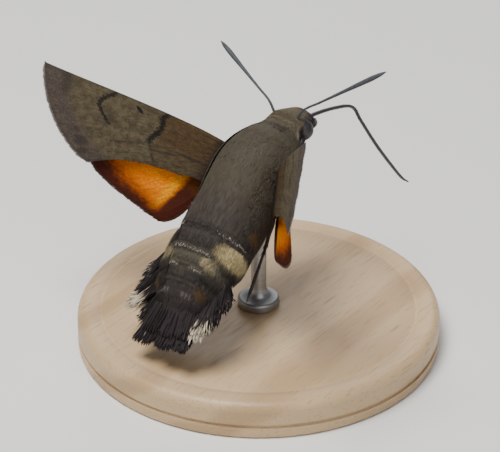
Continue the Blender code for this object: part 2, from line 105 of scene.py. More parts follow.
# Depth of the coat over the skin, along the body
COAT_DEPTH = ((-20.6, 0.10), (-18.4, 0.12), (-16.5, 0.20), (-7.0, 0.24), (-5.0, 0.32), (2.0, 0.32),
              (4.0, 0.26), (6.74, 0.22))

EYE_RADIUS = 1.15
EYE_PLACE = (4.42, 1.45, -1.60)

ANTENNA_ROOT = (4.55, 1.45, -0.15)
ANTENNA_TIPS = {"left": (9.9, 11.0, 2.4), "right": (11.25, -10.45, 2.4)}
ANTENNA_RADII = ((0.0, 0.16), (0.17, 0.13), (0.44, 0.15), (0.59, 0.19), (0.75, 0.245), (0.88, 0.25),
                 (0.96, 0.16), (1.0, 0.04))
ANTENNA_BEND = (5.5, 2.35, 0.85)
ANTENNA_RINGS = 72

PALP_PATH = ((5.1, 0.78, -2.75), (6.0, 0.80, -3.35), (6.4, 0.75, -3.25))
PALP_RADII = ((0.0, 0.32), (0.45, 0.32), (0.8, 0.24), (1.0, 0.10))

PROBOSCIS_PATH = (
    (5.6, 0.0, -2.75),
    (7.1, 0.0, -3.55),
    (9.65, 0.0, -6.1),
    (11.3, 0.0, -8.5),
    (11.1, 0.0, -11.0),
    (10.7, 0.0, -15.7),
    (10.6, 0.0, -21.5),
    (10.9, 0.0, -23.4),
)
PROBOSCIS_RADII = ((0.0, 0.24), (0.15, 0.20), (0.5, 0.16), (0.9, 0.13), (1.0, 0.07))
PROBOSCIS_RINGS = 150

# Legs: the left one of each pair from its root round its knee, the third point, to its foot
LEGS = {
    "front": ((-0.2, 0.6, -3.4), (1.0, 0.6, -4.55), (1.9, 0.6, -4.95), (1.0, 0.6, -5.4),
              (-1.1, 0.5, -5.45)),
    "middle": ((-2.9, 1.4, -3.4), (-1.7, 1.4, -4.5), (-0.8, 1.4, -4.95), (-1.7, 1.4, -5.4),
               (-4.1, 1.35, -5.5)),
    "hind": ((-3.8, 1.7, -2.9), (-5.1, 2.0, -4.1), (-6.5, 2.2, -4.5), (-8.5, 2.65, -4.7),
             (-13.9, 3.45, -5.3)),
}
LEG_RADII = ((0.0, 0.28), (0.25, 0.28), (0.46, 0.18), (0.54, 0.16), (0.66, 0.15), (0.74, 0.11),
             (0.98, 0.09), (1.0, 0.04))
FOOT_STARTS = 0.74
FOOT_JOINTS = 5

# Wings: both pairs raised from hinges on the thorax, flown with the rear edge down
WING_POSES = {
    "forewing_left": {"hinge": (0.0, 3.3, 1.4), "raised": 45.0, "pitch": 24.0, "sweep": 0.0, "drop": 0.0},
    "forewing_right": {"hinge": (-1.4, -3.7, 1.55), "raised": 51.4, "pitch": 24.0, "sweep": 0.4, "drop": 0.0},
    "hindwing_left": {"hinge": (0.0, 3.3, 1.4), "raised": 45.0, "pitch": 24.0, "sweep": 0.0, "drop": 1.0},
    "hindwing_right": {"hinge": (1.1, -2.7, 1.55), "raised": 46.2, "pitch": 22.0, "sweep": -23.4, "drop": 0.8},
}
WING_DROOP = 0.001
WING_CAMBER = 0.008
WING_HALF_THICKNESS = 0.05
WING_ROOT_INSIDE = 1.6
WING_ROOT_SPAN = 0.14
VEIN_HEIGHT = 0.035
VEIN_HALF_WIDTH = 0.09
WING_GRID = (96, 76)

# Wing outlines as curves: distance out from the hinge, distance back from it
FOREWING = {
    "leading": ((0.0, 0.6), (6.5, 0.8), (15.0, 2.6), (20.5, 3.4)),
    "trailing": ((0.0, 5.1), (3.0, 6.3), (8.0, 6.2), (11.6, 9.95)),
    "outer": ((20.5, 3.4), (18.9, 6.4), (15.6, 9.3), (11.6, 9.95)),
    "veins": (0.06, 0.15, 0.25, 0.36, 0.47, 0.58, 0.69, 0.84),
    "stems": (0.06, 0.25, 0.58, 0.84),
    "cell_veins": (0.25, 0.58),
    "cell_end": 0.44,
    "pale_fringe": 0.7,
}
HINDWING = {
    "leading": ((0.0, 4.6), (4.0, 4.4), (9.0, 6.2), (11.8, 8.9)),
    "trailing": ((0.1, 6.6), (0.1, 8.6), (0.5, 10.9), (2.2, 11.5)),
    "outer": ((11.8, 8.9), (10.8, 11.0), (6.3, 10.9), (2.2, 11.5)),
    "veins": (0.10, 0.26, 0.42, 0.58, 0.74, 0.90),
    "stems": (0.10, 0.26, 0.58, 0.90),
    "cell_veins": (0.26, 0.58),
    "cell_end": 0.44,
    "pale_fringe": 0.3,
}

# Cross lines of the forewing: place back from the hinge, place out from it
OUTER_LINE = ((1.9, 12.7), (2.5, 12.85), (3.2, 13.4), (4.1, 13.65), (4.5, 13.2), (5.0, 12.4), (5.4, 11.8))
INNER_LINE = ((0.9, 7.2), (1.4, 7.0), (1.9, 7.3), (2.4, 7.0), (3.2, 6.9), (4.0, 7.15), (4.8, 7.35))
THIN_LINE = ((4.6, 7.3), (5.2, 6.9), (5.9, 6.2), (6.5, 5.7))

# Tail: blades in tiers that fan out behind the body's flat end
TAIL_TIERS = (
    {"root": -17.6, "end": -21.9, "half_width": 3.15, "rise": 0.42, "blades": 420},
    {"root": -18.6, "end": -23.1, "half_width": 3.35, "rise": 0.0, "blades": 480},
    {"root": -17.8, "end": -22.2, "half_width": 3.1, "rise": -0.40, "blades": 380},
)
TAIL_ROOT_HALF_WIDTH = 2.35
TAIL_NOTCHES = ((0.27, 0.75), (-0.5, 0.3))
TAIL_NOTCH_REACH = 0.16
TAIL_ROUND = 0.2
TAIL_SLANT = 0.25

# Side tufts of the abdomen: for each tier and side, its place on the flank, its furthest tip, the share
# of its blades that have pale tips and how far those reach
TUFT_TIERS = (
    {"left": (-12.3, (-16.2, 6.8, -0.8), 0.4, 0.35), "right": (-13.9, (-16.8, 5.4, -0.9), 0.3, 0.3)},
    {"left": (-14.3, (-18.1, 6.7, -0.9), 0.0, 0.0), "right": (-14.8, (-18.9, 4.9, -1.0), 0.35, 0.35)},
    {"left": (-16.1, (-19.7, 6.9, -0.9), 1.0, 0.95), "right": (-16.1, (-19.9, 4.6, -0.9), 0.85, 0.6)},
    {"left": (-17.6, (-20.5, 4.5, -0.95), 0.5, 0.35), "right": (-17.6, (-20.6, 4.1, -0.95), 0.95, 0.8)},
)
TUFT_ANGLES = (78.0, 118.0)
TUFT_DROP = 1.1
TUFT_EDGE_REACH = 0.62
TUFT_SHORT_BELOW = 0.9
TUFT_BLADES = 560

# Camera: its way from the thorax, the point that it looks past, and its distance
CAMERA_RIGHT = (-0.797, -0.604, 0.001)
CAMERA_UP = (0.302, -0.398, 0.866)
CAMERA_OFFSET = (-1.428, -7.344)
CAMERA_DISTANCE = 250.0
CAMERA_LENS = 176.5


# Values that a user may change

class MothCoatSettings(bpy.types.PropertyGroup):
    """Sizes and colours of the fur and scales on the body."""
    tuft_length: bpy.props.FloatProperty(
        name="Tuft length", description="Length of a tuft on the thorax",
        default=0.85 * MM, min=0.3 * MM, max=3 * MM, precision=5, unit="LENGTH")
    tuft_width: bpy.props.FloatProperty(
        name="Tuft width", description="Width of a tuft on the thorax",
        default=0.09 * MM, min=0.05 * MM, max=0.5 * MM, precision=5, unit="LENGTH")
    fullness: bpy.props.FloatProperty(
        name="Fullness", description="Share of the coat's tufts that is made",
        default=1.0, min=0.05, max=1.0, subtype="FACTOR")
    back: bpy.props.FloatVectorProperty(
        name="Back", description="Olive grey-brown of the head and thorax",
        default=(0.069, 0.059, 0.040), size=3, min=0.0, max=1.0, subtype="COLOR")
    abdomen: bpy.props.FloatVectorProperty(
        name="Abdomen", description="Dark brown-grey of the abdomen",
        default=(0.053, 0.043, 0.036), size=3, min=0.0, max=1.0, subtype="COLOR")
    cream: bpy.props.FloatVectorProperty(
        name="Cream", description="Cream of the flank patches and tuft tips",
        default=(0.49, 0.395, 0.205), size=3, min=0.0, max=1.0, subtype="COLOR")
    rust: bpy.props.FloatVectorProperty(
        name="Rust", description="Orange-brown of the hair beside the wings",
        default=(0.15, 0.080, 0.028), size=3, min=0.0, max=1.0, subtype="COLOR")
    tail: bpy.props.FloatVectorProperty(
        name="Tail", description="Black-brown of the tail fan and side tufts",
        default=(0.015, 0.0105, 0.0115), size=3, min=0.0, max=1.0, subtype="COLOR")


class MothWingSettings(bpy.types.PropertyGroup):
    """Sizes and colours of the wings."""
    fringe: bpy.props.FloatProperty(
        name="Fringe", description="Length of the scales that fringe the wings",
        default=0.36 * MM, min=0.1 * MM, max=1.5 * MM, precision=5, unit="LENGTH")
    forewing: bpy.props.FloatVectorProperty(
        name="Forewing", description="Grey-brown ground of the forewings",
        default=(0.074, 0.060, 0.038), size=3, min=0.0, max=1.0, subtype="COLOR")
    cross_lines: bpy.props.FloatVectorProperty(
        name="Cross lines", description="Black-brown of the forewings' cross lines",
        default=(0.014, 0.011, 0.010), size=3, min=0.0, max=1.0, subtype="COLOR")
    hindwing: bpy.props.FloatVectorProperty(
        name="Hindwing", description="Orange of the hindwings",
        default=(0.84, 0.275, 0.002), size=3, min=0.0, max=1.0, subtype="COLOR")
    border: bpy.props.FloatVectorProperty(
        name="Border", description="Maroon of the hindwings' border",
        default=(0.050, 0.013, 0.008), size=3, min=0.0, max=1.0, subtype="COLOR")


class MothStandSettings(bpy.types.PropertyGroup):
    """Finish of the stand and the stage."""
    wood: bpy.props.FloatVectorProperty(
        name="Wood", description="Pale wood of the base",
        default=(0.56, 0.39, 0.22), size=3, min=0.0, max=1.0, subtype="COLOR")
    floor: bpy.props.FloatVectorProperty(
        name="Floor", description="Pale floor under the stand",
        default=(0.84, 0.84, 0.82), size=3, min=0.0, max=1.0, subtype="COLOR")
    key_light: bpy.props.FloatProperty(
        name="Key light", description="Power of the main light",
        default=3.0, min=0.0, max=200.0, unit="POWER")


# Arrays and shapes

def unit(ways):
    return ways / np.linalg.norm(ways, axis=-1, keepdims=True)


def hermite(table, place, column=1):
    """Smooth curve through a table's rows, read at many places."""
    rows = np.array(sorted(table))
    xs = rows[:, 0]
    ys = rows[:, column]
    slopes = np.gradient(ys, xs)
    place = np.clip(place, xs[0], xs[-1])
    k = np.clip(np.searchsorted(xs, place) - 1, 0, len(xs) - 2)
    step = xs[k + 1] - xs[k]
    u = (place - xs[k]) / step
    from_low = (2 * u ** 3 - 3 * u ** 2 + 1) * ys[k] + (u ** 3 - 2 * u ** 2 + u) * step * slopes[k]
    from_high = (3 * u ** 2 - 2 * u ** 3) * ys[k + 1] + (u ** 3 - u ** 2) * step * slopes[k + 1]
    return from_low + from_high


def ease(value, low, high):
    """Smooth step from 0 at low to 1 at high."""
    part = np.clip((value - low) / (high - low), 0.0, 1.0)
    return part * part * (3 - 2 * part)


def mirrored(points, side):
    flip = 1.0 if side == "left" else -1.0
    return np.array(points) * np.array([1.0, flip, 1.0])


def even_spread(count, seed):
    """Evenly spread pairs between 0 and 1, with a little seeded scatter."""
    steps = np.arange(count)[:, None] * np.array([0.7548776662, 0.5698402910])
    chance = np.random.default_rng(seed)
    return (steps + 0.5 + chance.normal(0.0, 0.15 / math.sqrt(count), (count, 2))) % 1.0


class Shape:
    """Points and faces gathered as arrays, with the values that the materials read."""

    def __init__(self):
        self.points = []
        self.faces = []
        self.values = {}
        self.patches = []
        self.count = 0

    def add(self, points, faces, patches=None, **values):
        points = np.asarray(points, dtype=float).reshape(-1, 3)
        self.points.append(points)
        self.faces += [np.asarray(group) + self.count for group in faces]
        for name, value in values.items():
            value = np.broadcast_to(np.asarray(value, dtype=float).reshape(-1, 3), points.shape)
            self.values.setdefault(name, []).append(value)
        if patches is not None:
            self.patches.append(np.asarray(patches).reshape(-1, 2))
        self.count += len(points)

    def build(self, name, material, matrix):
        mesh = bpy.data.meshes.new(name)
        turn = np.array(matrix.to_3x3())
        points = np.concatenate(self.points) * MM @ turn.T + np.array(matrix.translation)
        corners = np.concatenate([group.ravel() for group in self.faces]).astype(np.int32)
        sizes = np.concatenate([np.full(len(group), group.shape[1]) for group in self.faces])
        starts = np.concatenate(([0], np.cumsum(sizes)[:-1])).astype(np.int32)
        mesh.vertices.add(len(points))
        mesh.vertices.foreach_set("co", points.ravel())
        mesh.loops.add(len(corners))
        mesh.loops.foreach_set("vertex_index", corners)
        mesh.polygons.add(len(sizes))
        mesh.polygons.foreach_set("loop_start", starts)
        mesh.polygons.foreach_set("use_smooth", np.ones(len(sizes), dtype=bool))
        mesh.update(calc_edges=True)
        for value_name, groups in self.values.items():
            layer = mesh.attributes.new(value_name, "FLOAT_VECTOR", "POINT")
            layer.data.foreach_set("vector", np.concatenate(groups).ravel())
        if self.patches:
            layer = mesh.uv_layers.new(name="OFBake")
            layer.uv.foreach_set("vector", np.concatenate(self.patches)[corners].ravel())
        mesh.materials.append(material)
        piece = bpy.data.objects.new(name, mesh)
        bpy.context.scene.collection.objects.link(piece)
        return piece


def grid_faces(rows, columns, closed=False, flip=False):
    """Four-sided faces of a grid of points, wrapped round in its second direction if closed."""
    k, i = np.meshgrid(np.arange(rows - 1), np.arange(columns if closed else columns - 1), indexing="ij")
    j = (i + 1) % columns
    corners = [k * columns + i, k * columns + j, (k + 1) * columns + j, (k + 1) * columns + i]
    if flip:
        corners.reverse()
    return np.stack(corners, -1).reshape(-1, 4)


TUFT_TAPER = ((0.0, 0.55), (0.3, 1.0), (0.65, 0.80), (1.0, 0.10))
BLADE_TAPER = ((0.0, 0.70), (0.4, 0.95), (0.8, 1.0), (1.0, 0.6))
PATCH = 0.003


def tuft_template(stations):
    """Faces of one tuft: rings of three points, a closed root and a pointed tip."""
    rings = stations - 1
    quads = []
    for k in range(rings - 1):
        for i in range(3):
            j = (i + 1) % 3
            quads.append((3 * k + i, 3 * k + 3 + i, 3 * k + 3 + j, 3 * k + j))
    tip = 3 * rings
    triangles = [(0, 1, 2)]
    for i in range(3):
        triangles.append((tip - 3 + i, tip, tip - 3 + (i + 1) % 3))
    return np.array(quads), np.array(triangles)


def add_tufts(shape, roots, ways, looks, length, width, rise=0.1, droop=0.0, sway=0.0,
              stations=4, bunch=1.0, taper=TUFT_TAPER, thickness=0.35, tint=0.5, pale=0.0, spots=None,
              **values):
    """Thin closed locks from their roots: ways they lie, looks the way their faces look."""
    count = len(roots)
    sides = unit(np.cross(looks, ways))
    parts = np.linspace(0.0, 1.0, stations) ** bunch
    columns = [np.broadcast_to(value, (count,)) for value in (length, width, rise, droop, sway, tint, pale)]
    length, width, rise, droop, sway, tint, pale = columns
    rings = []
    for part in parts:
        along = roots + ways * (length * part)[:, None]
        along = along + looks * (length * (rise * part - droop * part ** 2))[:, None]
        along = along + sides * (length * sway * part ** 2)[:, None]
        if part == 1.0:
            rings.append(along[:, None, :])
            continue
        half = 0.5 * width * float(hermite(taper, part))
        left = along - sides * half[:, None]
        right = along + sides * half[:, None]
        crest = along + looks * (2 * thickness * half)[:, None]
        rings.append(np.stack([left, crest, right], 1))
    points = np.concatenate(rings, 1)
    size = points.shape[1]
    along_values = np.concatenate([np.full(3, part) for part in parts[:-1]] + [[1.0]])
    across_values = np.concatenate([np.arange(3) - 1.0 for _ in parts[:-1]] + [[0.0]])
    marks = np.empty((count, size, 3))
    marks[..., 0] = along_values
    marks[..., 1] = tint[:, None]
    marks[..., 2] = pale[:, None]
    shifts = np.arange(count)[:, None, None] * size
    faces = [(group[None] + shifts).reshape(-1, group.shape[1]) for group in tuft_template(stations)]
    patches = None
    if spots is not None:
        offsets = np.stack([across_values * 0.4, along_values - 0.5], -1) * PATCH
        patches = spots[:, None, :] + offsets[None]
    spread = {}
    for name, value in values.items():
        spread[name] = np.repeat(np.asarray(value, dtype=float), size, axis=0)
    shape.add(points, faces, patches, tuft=marks, **spread)


def path_points(path, parts):
    """Points on the smooth curve through a path's points."""
    path = np.array(path, dtype=float)
    first = 2 * path[0] - path[1]
    last = 2 * path[-1] - path[-2]
    path = np.vstack([first, path, last])
    spans = len(path) - 3
    place = np.clip(parts, 0.0, 1.0) * spans
    k = np.minimum(place.astype(int), spans - 1)
    u = (place - k)[:, None]
    p0, p1, p2, p3 = (path[k + n] for n in range(4))
    return 0.5 * (2 * p1 + (p2 - p0) * u + (2 * p0 - 5 * p1 + 4 * p2 - p3) * u ** 2
                  + (p1 * 3 - p0 - p2 * 3 + p3) * u ** 3)


def path_frame(path, parts):
    """Points on a path, the way it runs there, and two ways square to that."""
    step = 0.002
    centres = path_points(path, parts)
    run = unit(path_points(path, parts + step) - path_points(path, parts - step))
    across = unit(np.cross(run, np.array([0.31, 0.17, 1.0])))
    return centres, run, across, np.cross(across, run)


def add_tube(shape, path, radii, stations, sides, rings=0, ring_depth=0.0, **values):
    """Closed tube along a path, with fine rings round it."""
    parts = np.linspace(0.0, 1.0, stations)
    centres, run, across, above = path_frame(path, parts)
    radius = hermite(radii, parts) * (1 + ring_depth * np.cos(2 * math.pi * rings * parts))
    angles = np.linspace(0.0, 2 * math.pi, sides, endpoint=False)
    ways = across[:, None] * np.cos(angles)[None, :, None] + above[:, None] * np.sin(angles)[None, :, None]
    points = centres[:, None] + ways * radius[:, None, None]
    ends = np.arange(sides)
    last = (stations - 1) * sides
    caps = [ends[None, ::-1], last + ends[None]]
    marks = np.zeros((stations, sides, 3))
    marks[..., 0] = parts[:, None]
    marks[..., 1] = 0.5
    shape.add(points, [grid_faces(stations, sides, closed=True)] + caps, tuft=marks, **values)


# Body: its skin's shape, read at many places at once

def body_relief(x, angle):
    """Steps between the abdomen's segments, the shoulder flaps and the crease of the neck."""
    relief = np.zeros(np.broadcast(x, angle).shape)
    for front, back in zip(SEGMENT_EDGES, SEGMENT_EDGES[1:]):
        part = (front - x) / (front - back)
        inside = (part >= 0.0) & (part < 1.0)
        step = -SEGMENT_STEP * (1 - ease(part, 0.0, 0.55)) + 0.02 * np.sin(math.pi * np.clip(part, 0, 1))
        relief = relief + np.where(inside, step, 0.0)
    degrees = np.abs(np.degrees(angle))
    inner = hermite(SHOULDER_INNER, x)
    flap = ease(degrees, inner - 1.0, inner + 8.0) * (1 - ease(degrees, SHOULDER_OUTER - 14, SHOULDER_OUTER))
    flap = flap * ease(x, -6.2, -4.4) * (1 - ease(x, 2.0, 3.0))
    groove = np.exp(-((degrees - inner + 2.0) / 5.0) ** 2) * ease(x, -6.0, -4.0) * (1 - ease(x, 2.0, 2.8))
    neck = np.exp(-((x - 2.95) / 0.22) ** 2) * (0.15 + 0.85 * ease(degrees, 14.0, 22.0)
                                                * (1 - 0.75 * ease(degrees, 44.0, 56.0)))
    return relief + 0.02 * flap - 0.02 * groove - 0.04 * neck


def body_point(x, angle, depth=0.0):
    """Points under the coat's outer surface, by place along the body and angle from its top."""
    sizes = [hermite(BODY_SECTIONS, x, column) for column in (1, 2, 3)]
    swell = body_relief(x, angle) - depth
    y = np.maximum(sizes[0] + swell, 0.05) * np.sin(angle)
    z = sizes[2] + np.maximum(sizes[1] + swell, 0.05) * np.cos(angle)
    return np.stack(np.broadcast_arrays(x, y, z), -1)


def body_frame(x, angle, depth):
    """Points on the skin, and there the ways back along it, round it and out of it."""
    point = body_point(x, angle, depth)
    back = unit(body_point(x - 0.05, angle, depth) - body_point(x + 0.05, angle, depth))
    across = unit(body_point(x, angle + 0.02, depth) - body_point(x, angle - 0.02, depth))
    return point, back, across, unit(np.cross(across, back))


def lie_of(x, angle):
    """Place along the body and round it, in millimetres, that the markings are drawn by."""
    x, angle = np.broadcast_arrays(x, angle)
    return np.stack([x, angle * BODY_ROUND, np.zeros_like(x)], -1)


# Node trees

class Graph:
    """A node tree with short calls that each add one node and give back its output."""

    def __init__(self, tree):
        self.tree = tree

    def add(self, kind, **settings):
        node = self.tree.nodes.new("ShaderNode" + kind)
        for name, value in settings.items():
            setattr(node, name, value)
        return node

    def feed(self, socket, value):
        if isinstance(value, bpy.types.NodeSocket):
            self.tree.links.new(value, socket)
        elif value is not None:
            if socket.type == "RGBA" and len(value) == 3:
                value = (*value, 1.0)
            socket.default_value = value

    def math(self, operation, *values, clamp=False):
        node = self.add("Math", operation=operation, use_clamp=clamp)
        for socket, value in zip(node.inputs, values):
            self.feed(socket, value)
        return node.outputs[0]

    def split(self, vector):
        node = self.add("SeparateXYZ")
        self.feed(node.inputs[0], vector)
        return node.outputs[:]

    def join(self, *values):
        node = self.add("CombineXYZ")
        for socket, value in zip(node.inputs, values):
            self.feed(socket, value)
        return node.outputs[0]

    def scaled(self, vector, scale):
        node = self.add("VectorMath", operation="MULTIPLY")
        self.feed(node.inputs[0], vector)
        self.feed(node.inputs[1], scale)
        return node.outputs[0]

    def mix(self, part, low, high, kind="MIX"):
        node = self.add("Mix", data_type="RGBA", blend_type=kind)
        self.feed(node.inputs[0], part)
        self.feed(node.inputs[6], low)
        self.feed(node.inputs[7], high)
        return node.outputs[2]

    def ease(self, value, low, high, start=0.0, end=1.0):
        node = self.add("MapRange", interpolation_type="SMOOTHSTEP")
        for socket, item in zip(node.inputs, (value, low, high, start, end)):
            self.feed(socket, item)
        return node.outputs[0]

    def noise(self, vector, scale, detail=2.0, roughness=0.5):
        node = self.add("TexNoise")
        for name, value in (("Vector", vector), ("Scale", scale), ("Detail", detail), ("Roughness", roughness)):
            self.feed(node.inputs[name], value)
        return node.outputs["Fac"]

    def cells(self, vector, scale, feature="F1"):
        node = self.add("TexVoronoi", feature=feature)
        self.feed(node.inputs["Vector"], vector)
        self.feed(node.inputs["Scale"], scale)
        return node.outputs["Distance"]

    def attribute(self, name):
        return self.add("Attribute", attribute_name=name).outputs["Vector"]

    def bump(self, height, strength, distance):
        node = self.add("Bump")
        self.feed(node.inputs["Height"], height)
        self.feed(node.inputs["Strength"], strength)
        self.feed(node.inputs["Distance"], distance)
        return node.outputs["Normal"]

    def group(self, tree, **values):
        node = self.add("Group", node_tree=tree)
        for name, value in values.items():
            self.feed(node.inputs[name.replace("_", " ").capitalize()], value)
        return node

    def curve(self, value, points):
        node = self.add("FloatCurve")
        line = node.mapping.curves[0]
        while len(line.points) < len(points):
            line.points.new(0.5, 0.5)
        for point, place in zip(line.points, points):
            point.location = place
            point.handle_type = "AUTO"
        node.mapping.update()
        self.feed(node.inputs["Value"], value)
        return node.outputs[0]


def new_group(name, inputs, outputs):
    """A shader node group with named inputs and outputs, and the graph to draw it with."""
    tree = bpy.data.node_groups.new(name, "ShaderNodeTree")
    for title, kind, value in inputs:
        socket = tree.interface.new_socket(title, in_out="INPUT", socket_type="NodeSocket" + kind)
        socket.default_value = value
    for title, kind in outputs:
        tree.interface.new_socket(title, in_out="OUTPUT", socket_type="NodeSocket" + kind)
    graph = Graph(tree)
    given = tree.nodes.new("NodeGroupInput").outputs
    result = tree.nodes.new("NodeGroupOutput").inputs
    return tree, graph, given, result


def shared(name, make):
    return bpy.data.node_groups.get(name) or make(name)


def patch_group(name):
    """Soft oval mark in the body's lie on both flanks, a little lower on the left one."""
    tree, graph, given, result = new_group(
        name,
        (("Lie", "Vector", (0.0, 0.0, 0.0)), ("Wobble", "Float", 0.5), ("Place", "Float", 0.0),
         ("Round", "Float", 0.0), ("Length", "Float", 1.0), ("Width", "Float", 1.0), ("Softness", "Float", 0.3)),
        (("Mask", "Float"),))
    x, around, _ = graph.split(given["Lie"])
    along = graph.math("DIVIDE", graph.math("SUBTRACT", x, given["Place"]), given["Length"])
    aside = graph.math("ABSOLUTE", graph.math("SUBTRACT", around, 0.35))
    aside = graph.math("SUBTRACT", graph.math("SUBTRACT", aside, 0.35), given["Round"])
    aside = graph.math("DIVIDE", aside, given["Width"])
    far = graph.math("SQRT", graph.math("ADD", graph.math("POWER", graph.math("ABSOLUTE", along), 2.6),
                                        graph.math("POWER", graph.math("ABSOLUTE", aside), 2.6)))
    far = graph.math("ADD", far, graph.math("MULTIPLY_ADD", given["Wobble"], 0.8, -0.4))
    low = graph.math("SUBTRACT", 1.0, given["Softness"])
    high = graph.math("ADD", 1.0, given["Softness"])
    graph.feed(result["Mask"], graph.math("SUBTRACT", 1.0, graph.ease(far, low, high)))
    return tree


# Painted shadow between the segments, where each hind edge overhangs the next: place, way round, half length, half
# width, strength, colour
SEGMENT_SHADOW_MARKS = (
    (-13.55, 6.7, 0.40, 1.9, 0.85, (0.020, 0.013, 0.013)),
    (-15.25, 3.3, 0.24, 2.9, 0.80, (0.012, 0.009, 0.009)),
    (-16.85, 0.4, 0.26, 2.4, 0.70, (0.022, 0.014, 0.020)),
    (-11.2, 3.0, 0.22, 2.2, 0.50, (0.020, 0.015, 0.015)),
)


def markings_and_shade_group(name):
    """Colours of the whole body, with painted shade between the segments, at the neck, on the face and behind the
    eyes, on the skin and on every tuft that grows from it.
    """
    coat = bpy.context.scene.moth_coat
    tree, graph, given, result = new_group(
        name,
        (("Place", "Vector", (0.0, 0.0, 0.0)), ("Lie", "Vector", (0.0, 0.0, 0.0)), ("Tint", "Float", 0.5)),
        (("Color", "Color"),))
    place = given["Place"]
    lie = given["Lie"]
    x, around, _ = graph.split(lie)
    off_top = graph.math("ABSOLUTE", around)
    mottle = graph.noise(place, 1.6, 5.0, 0.65)
    streaks = graph.noise(graph.scaled(place, (0.45, 1.6, 1.6)), 2.2, 3.0, 0.6)
    wobble = graph.noise(place, 1.7, 3.0, 0.6)

    def patch(place_x, around_mm, length, width, softness=0.3):
        node = graph.group(shared("soft patch", patch_group), lie=lie, wobble=wobble, place=place_x,
                           round=around_mm, length=length, width=width, softness=softness)
        return node.outputs[0]

    brown = tuple(part * tone for part, tone in zip(coat.back, (0.92, 0.80, 0.74)))
    grey = tuple(part * tone for part, tone in zip(coat.back, (1.12, 1.15, 1.18)))
    colour = graph.mix(graph.ease(mottle, 0.35, 0.65), brown, coat.back)
    colour = graph.mix(graph.ease(streaks, 0.45, 0.75), colour, grey)

    on_head = graph.ease(x, 2.2, 4.2, 1.0, 1.95)
    # painted shade at the neck, over the rear edge of the head's coat
    neck = graph.math("MULTIPLY", graph.ease(x, 2.3, 2.9), graph.ease(x, 4.1, 3.4))
    on_head = graph.math("MULTIPLY", on_head, graph.math("MULTIPLY_ADD", neck, -0.28, 1.0))
    colour = graph.mix(1.0, colour, graph.join(on_head, on_head, on_head), "MULTIPLY")
    edge = graph.math("MULTIPLY_ADD", streaks, 3.0, -1.5)
    behind = graph.ease(graph.math("ADD", x, edge), -4.2, -9.4)
    dark = tuple(part * tone for part, tone in zip(coat.abdomen, (0.58, 0.53, 0.53)))
    abdomen = graph.mix(graph.ease(streaks, 0.35, 0.65), dark, coat.abdomen)
    colour = graph.mix(behind, colour, abdomen)
    saddle = graph.math("MULTIPLY", graph.ease(x, -12.4, -13.2), graph.ease(x, -15.0, -14.2))
    colour = graph.mix(graph.math("MULTIPLY", saddle, 0.7), colour,
                       tuple(part * 1.2 for part in grey))
    rear = graph.ease(graph.math("ADD", x, edge), -15.5, -19.6)
    colour = graph.mix(graph.math("MULTIPLY", rear, 0.75), colour, tuple(part * 2.0 for part in coat.tail))

    cream = graph.mix(graph.ease(streaks, 0.3, 0.7), coat.cream, tuple(part * 0.72 for part in coat.cream))
    colour = graph.mix(patch(-12.0, 5.7, 0.85, 2.6, 0.35), colour, cream)
    colour = graph.mix(graph.math("MULTIPLY", patch(-13.6, 3.0, 0.65, 1.1, 0.3), 0.8), colour,
                       (0.32, 0.26, 0.15))
    # painted shadow between the segments
    for mark_x, mark_round, length, width, strength, shade in SEGMENT_SHADOW_MARKS:
        mask = graph.math("MULTIPLY", patch(mark_x, mark_round, length, width, 0.5), strength)
        colour = graph.mix(mask, colour, shade)
    colour = graph.mix(graph.math("MULTIPLY", patch(-16.45, 4.1, 0.42, 0.9, 0.5), 0.7), colour, coat.rust)
    colour = graph.mix(graph.math("MULTIPLY", patch(-8.8, 6.6, 0.6, 0.9, 0.5), 0.6), colour, coat.rust)
    for mark_x, mark_round, length, width in ((-17.3, 1.9, 0.12, 1.0), (-17.0, 6.0, 0.18, 0.6)):
        colour = graph.mix(graph.math("MULTIPLY", patch(mark_x, mark_round, length, width, 0.5), 0.45),
                           colour, (0.30, 0.25, 0.24))

    belly = graph.ease(graph.math("ADD", off_top, graph.math("MULTIPLY_ADD", wobble, 2.0, -1.0)), 8.6, 10.4)
    chest = graph.math("MULTIPLY", belly, graph.ease(x, -9.0, -5.5))
    under = graph.mix(chest, (0.10, 0.075, 0.055), (0.46, 0.41, 0.33))
    colour = graph.mix(graph.math("MULTIPLY", belly, 0.9), colour, under)

    cheek = graph.math("MULTIPLY", graph.ease(x, 0.8, 2.2), graph.ease(off_top, 6.8, 7.6))
    cheek = graph.math("MULTIPLY", cheek, graph.ease(off_top, 10.2, 9.2))
    colour = graph.mix(graph.math("MULTIPLY", cheek, 0.85), colour, (0.046, 0.037, 0.040))
    # painted shade: darker purple-grey over the front of the face, away from its top
    face = graph.math("MULTIPLY", graph.ease(x, 4.9, 5.7), graph.ease(off_top, 3.4, 5.2))
    colour = graph.mix(graph.math("MULTIPLY", face, 0.8), colour, (0.050, 0.040, 0.046))
    for nape_x, nape_round, length, width in ((2.78, 2.0, 0.13, 0.75), (2.72, 3.1, 0.17, 0.45),
                                              (3.1, 3.65, 0.12, 0.3)):
        colour = graph.mix(graph.math("MULTIPLY", patch(nape_x, nape_round, length, width, 0.4), 0.9),
                           colour, (0.016, 0.011, 0.010))
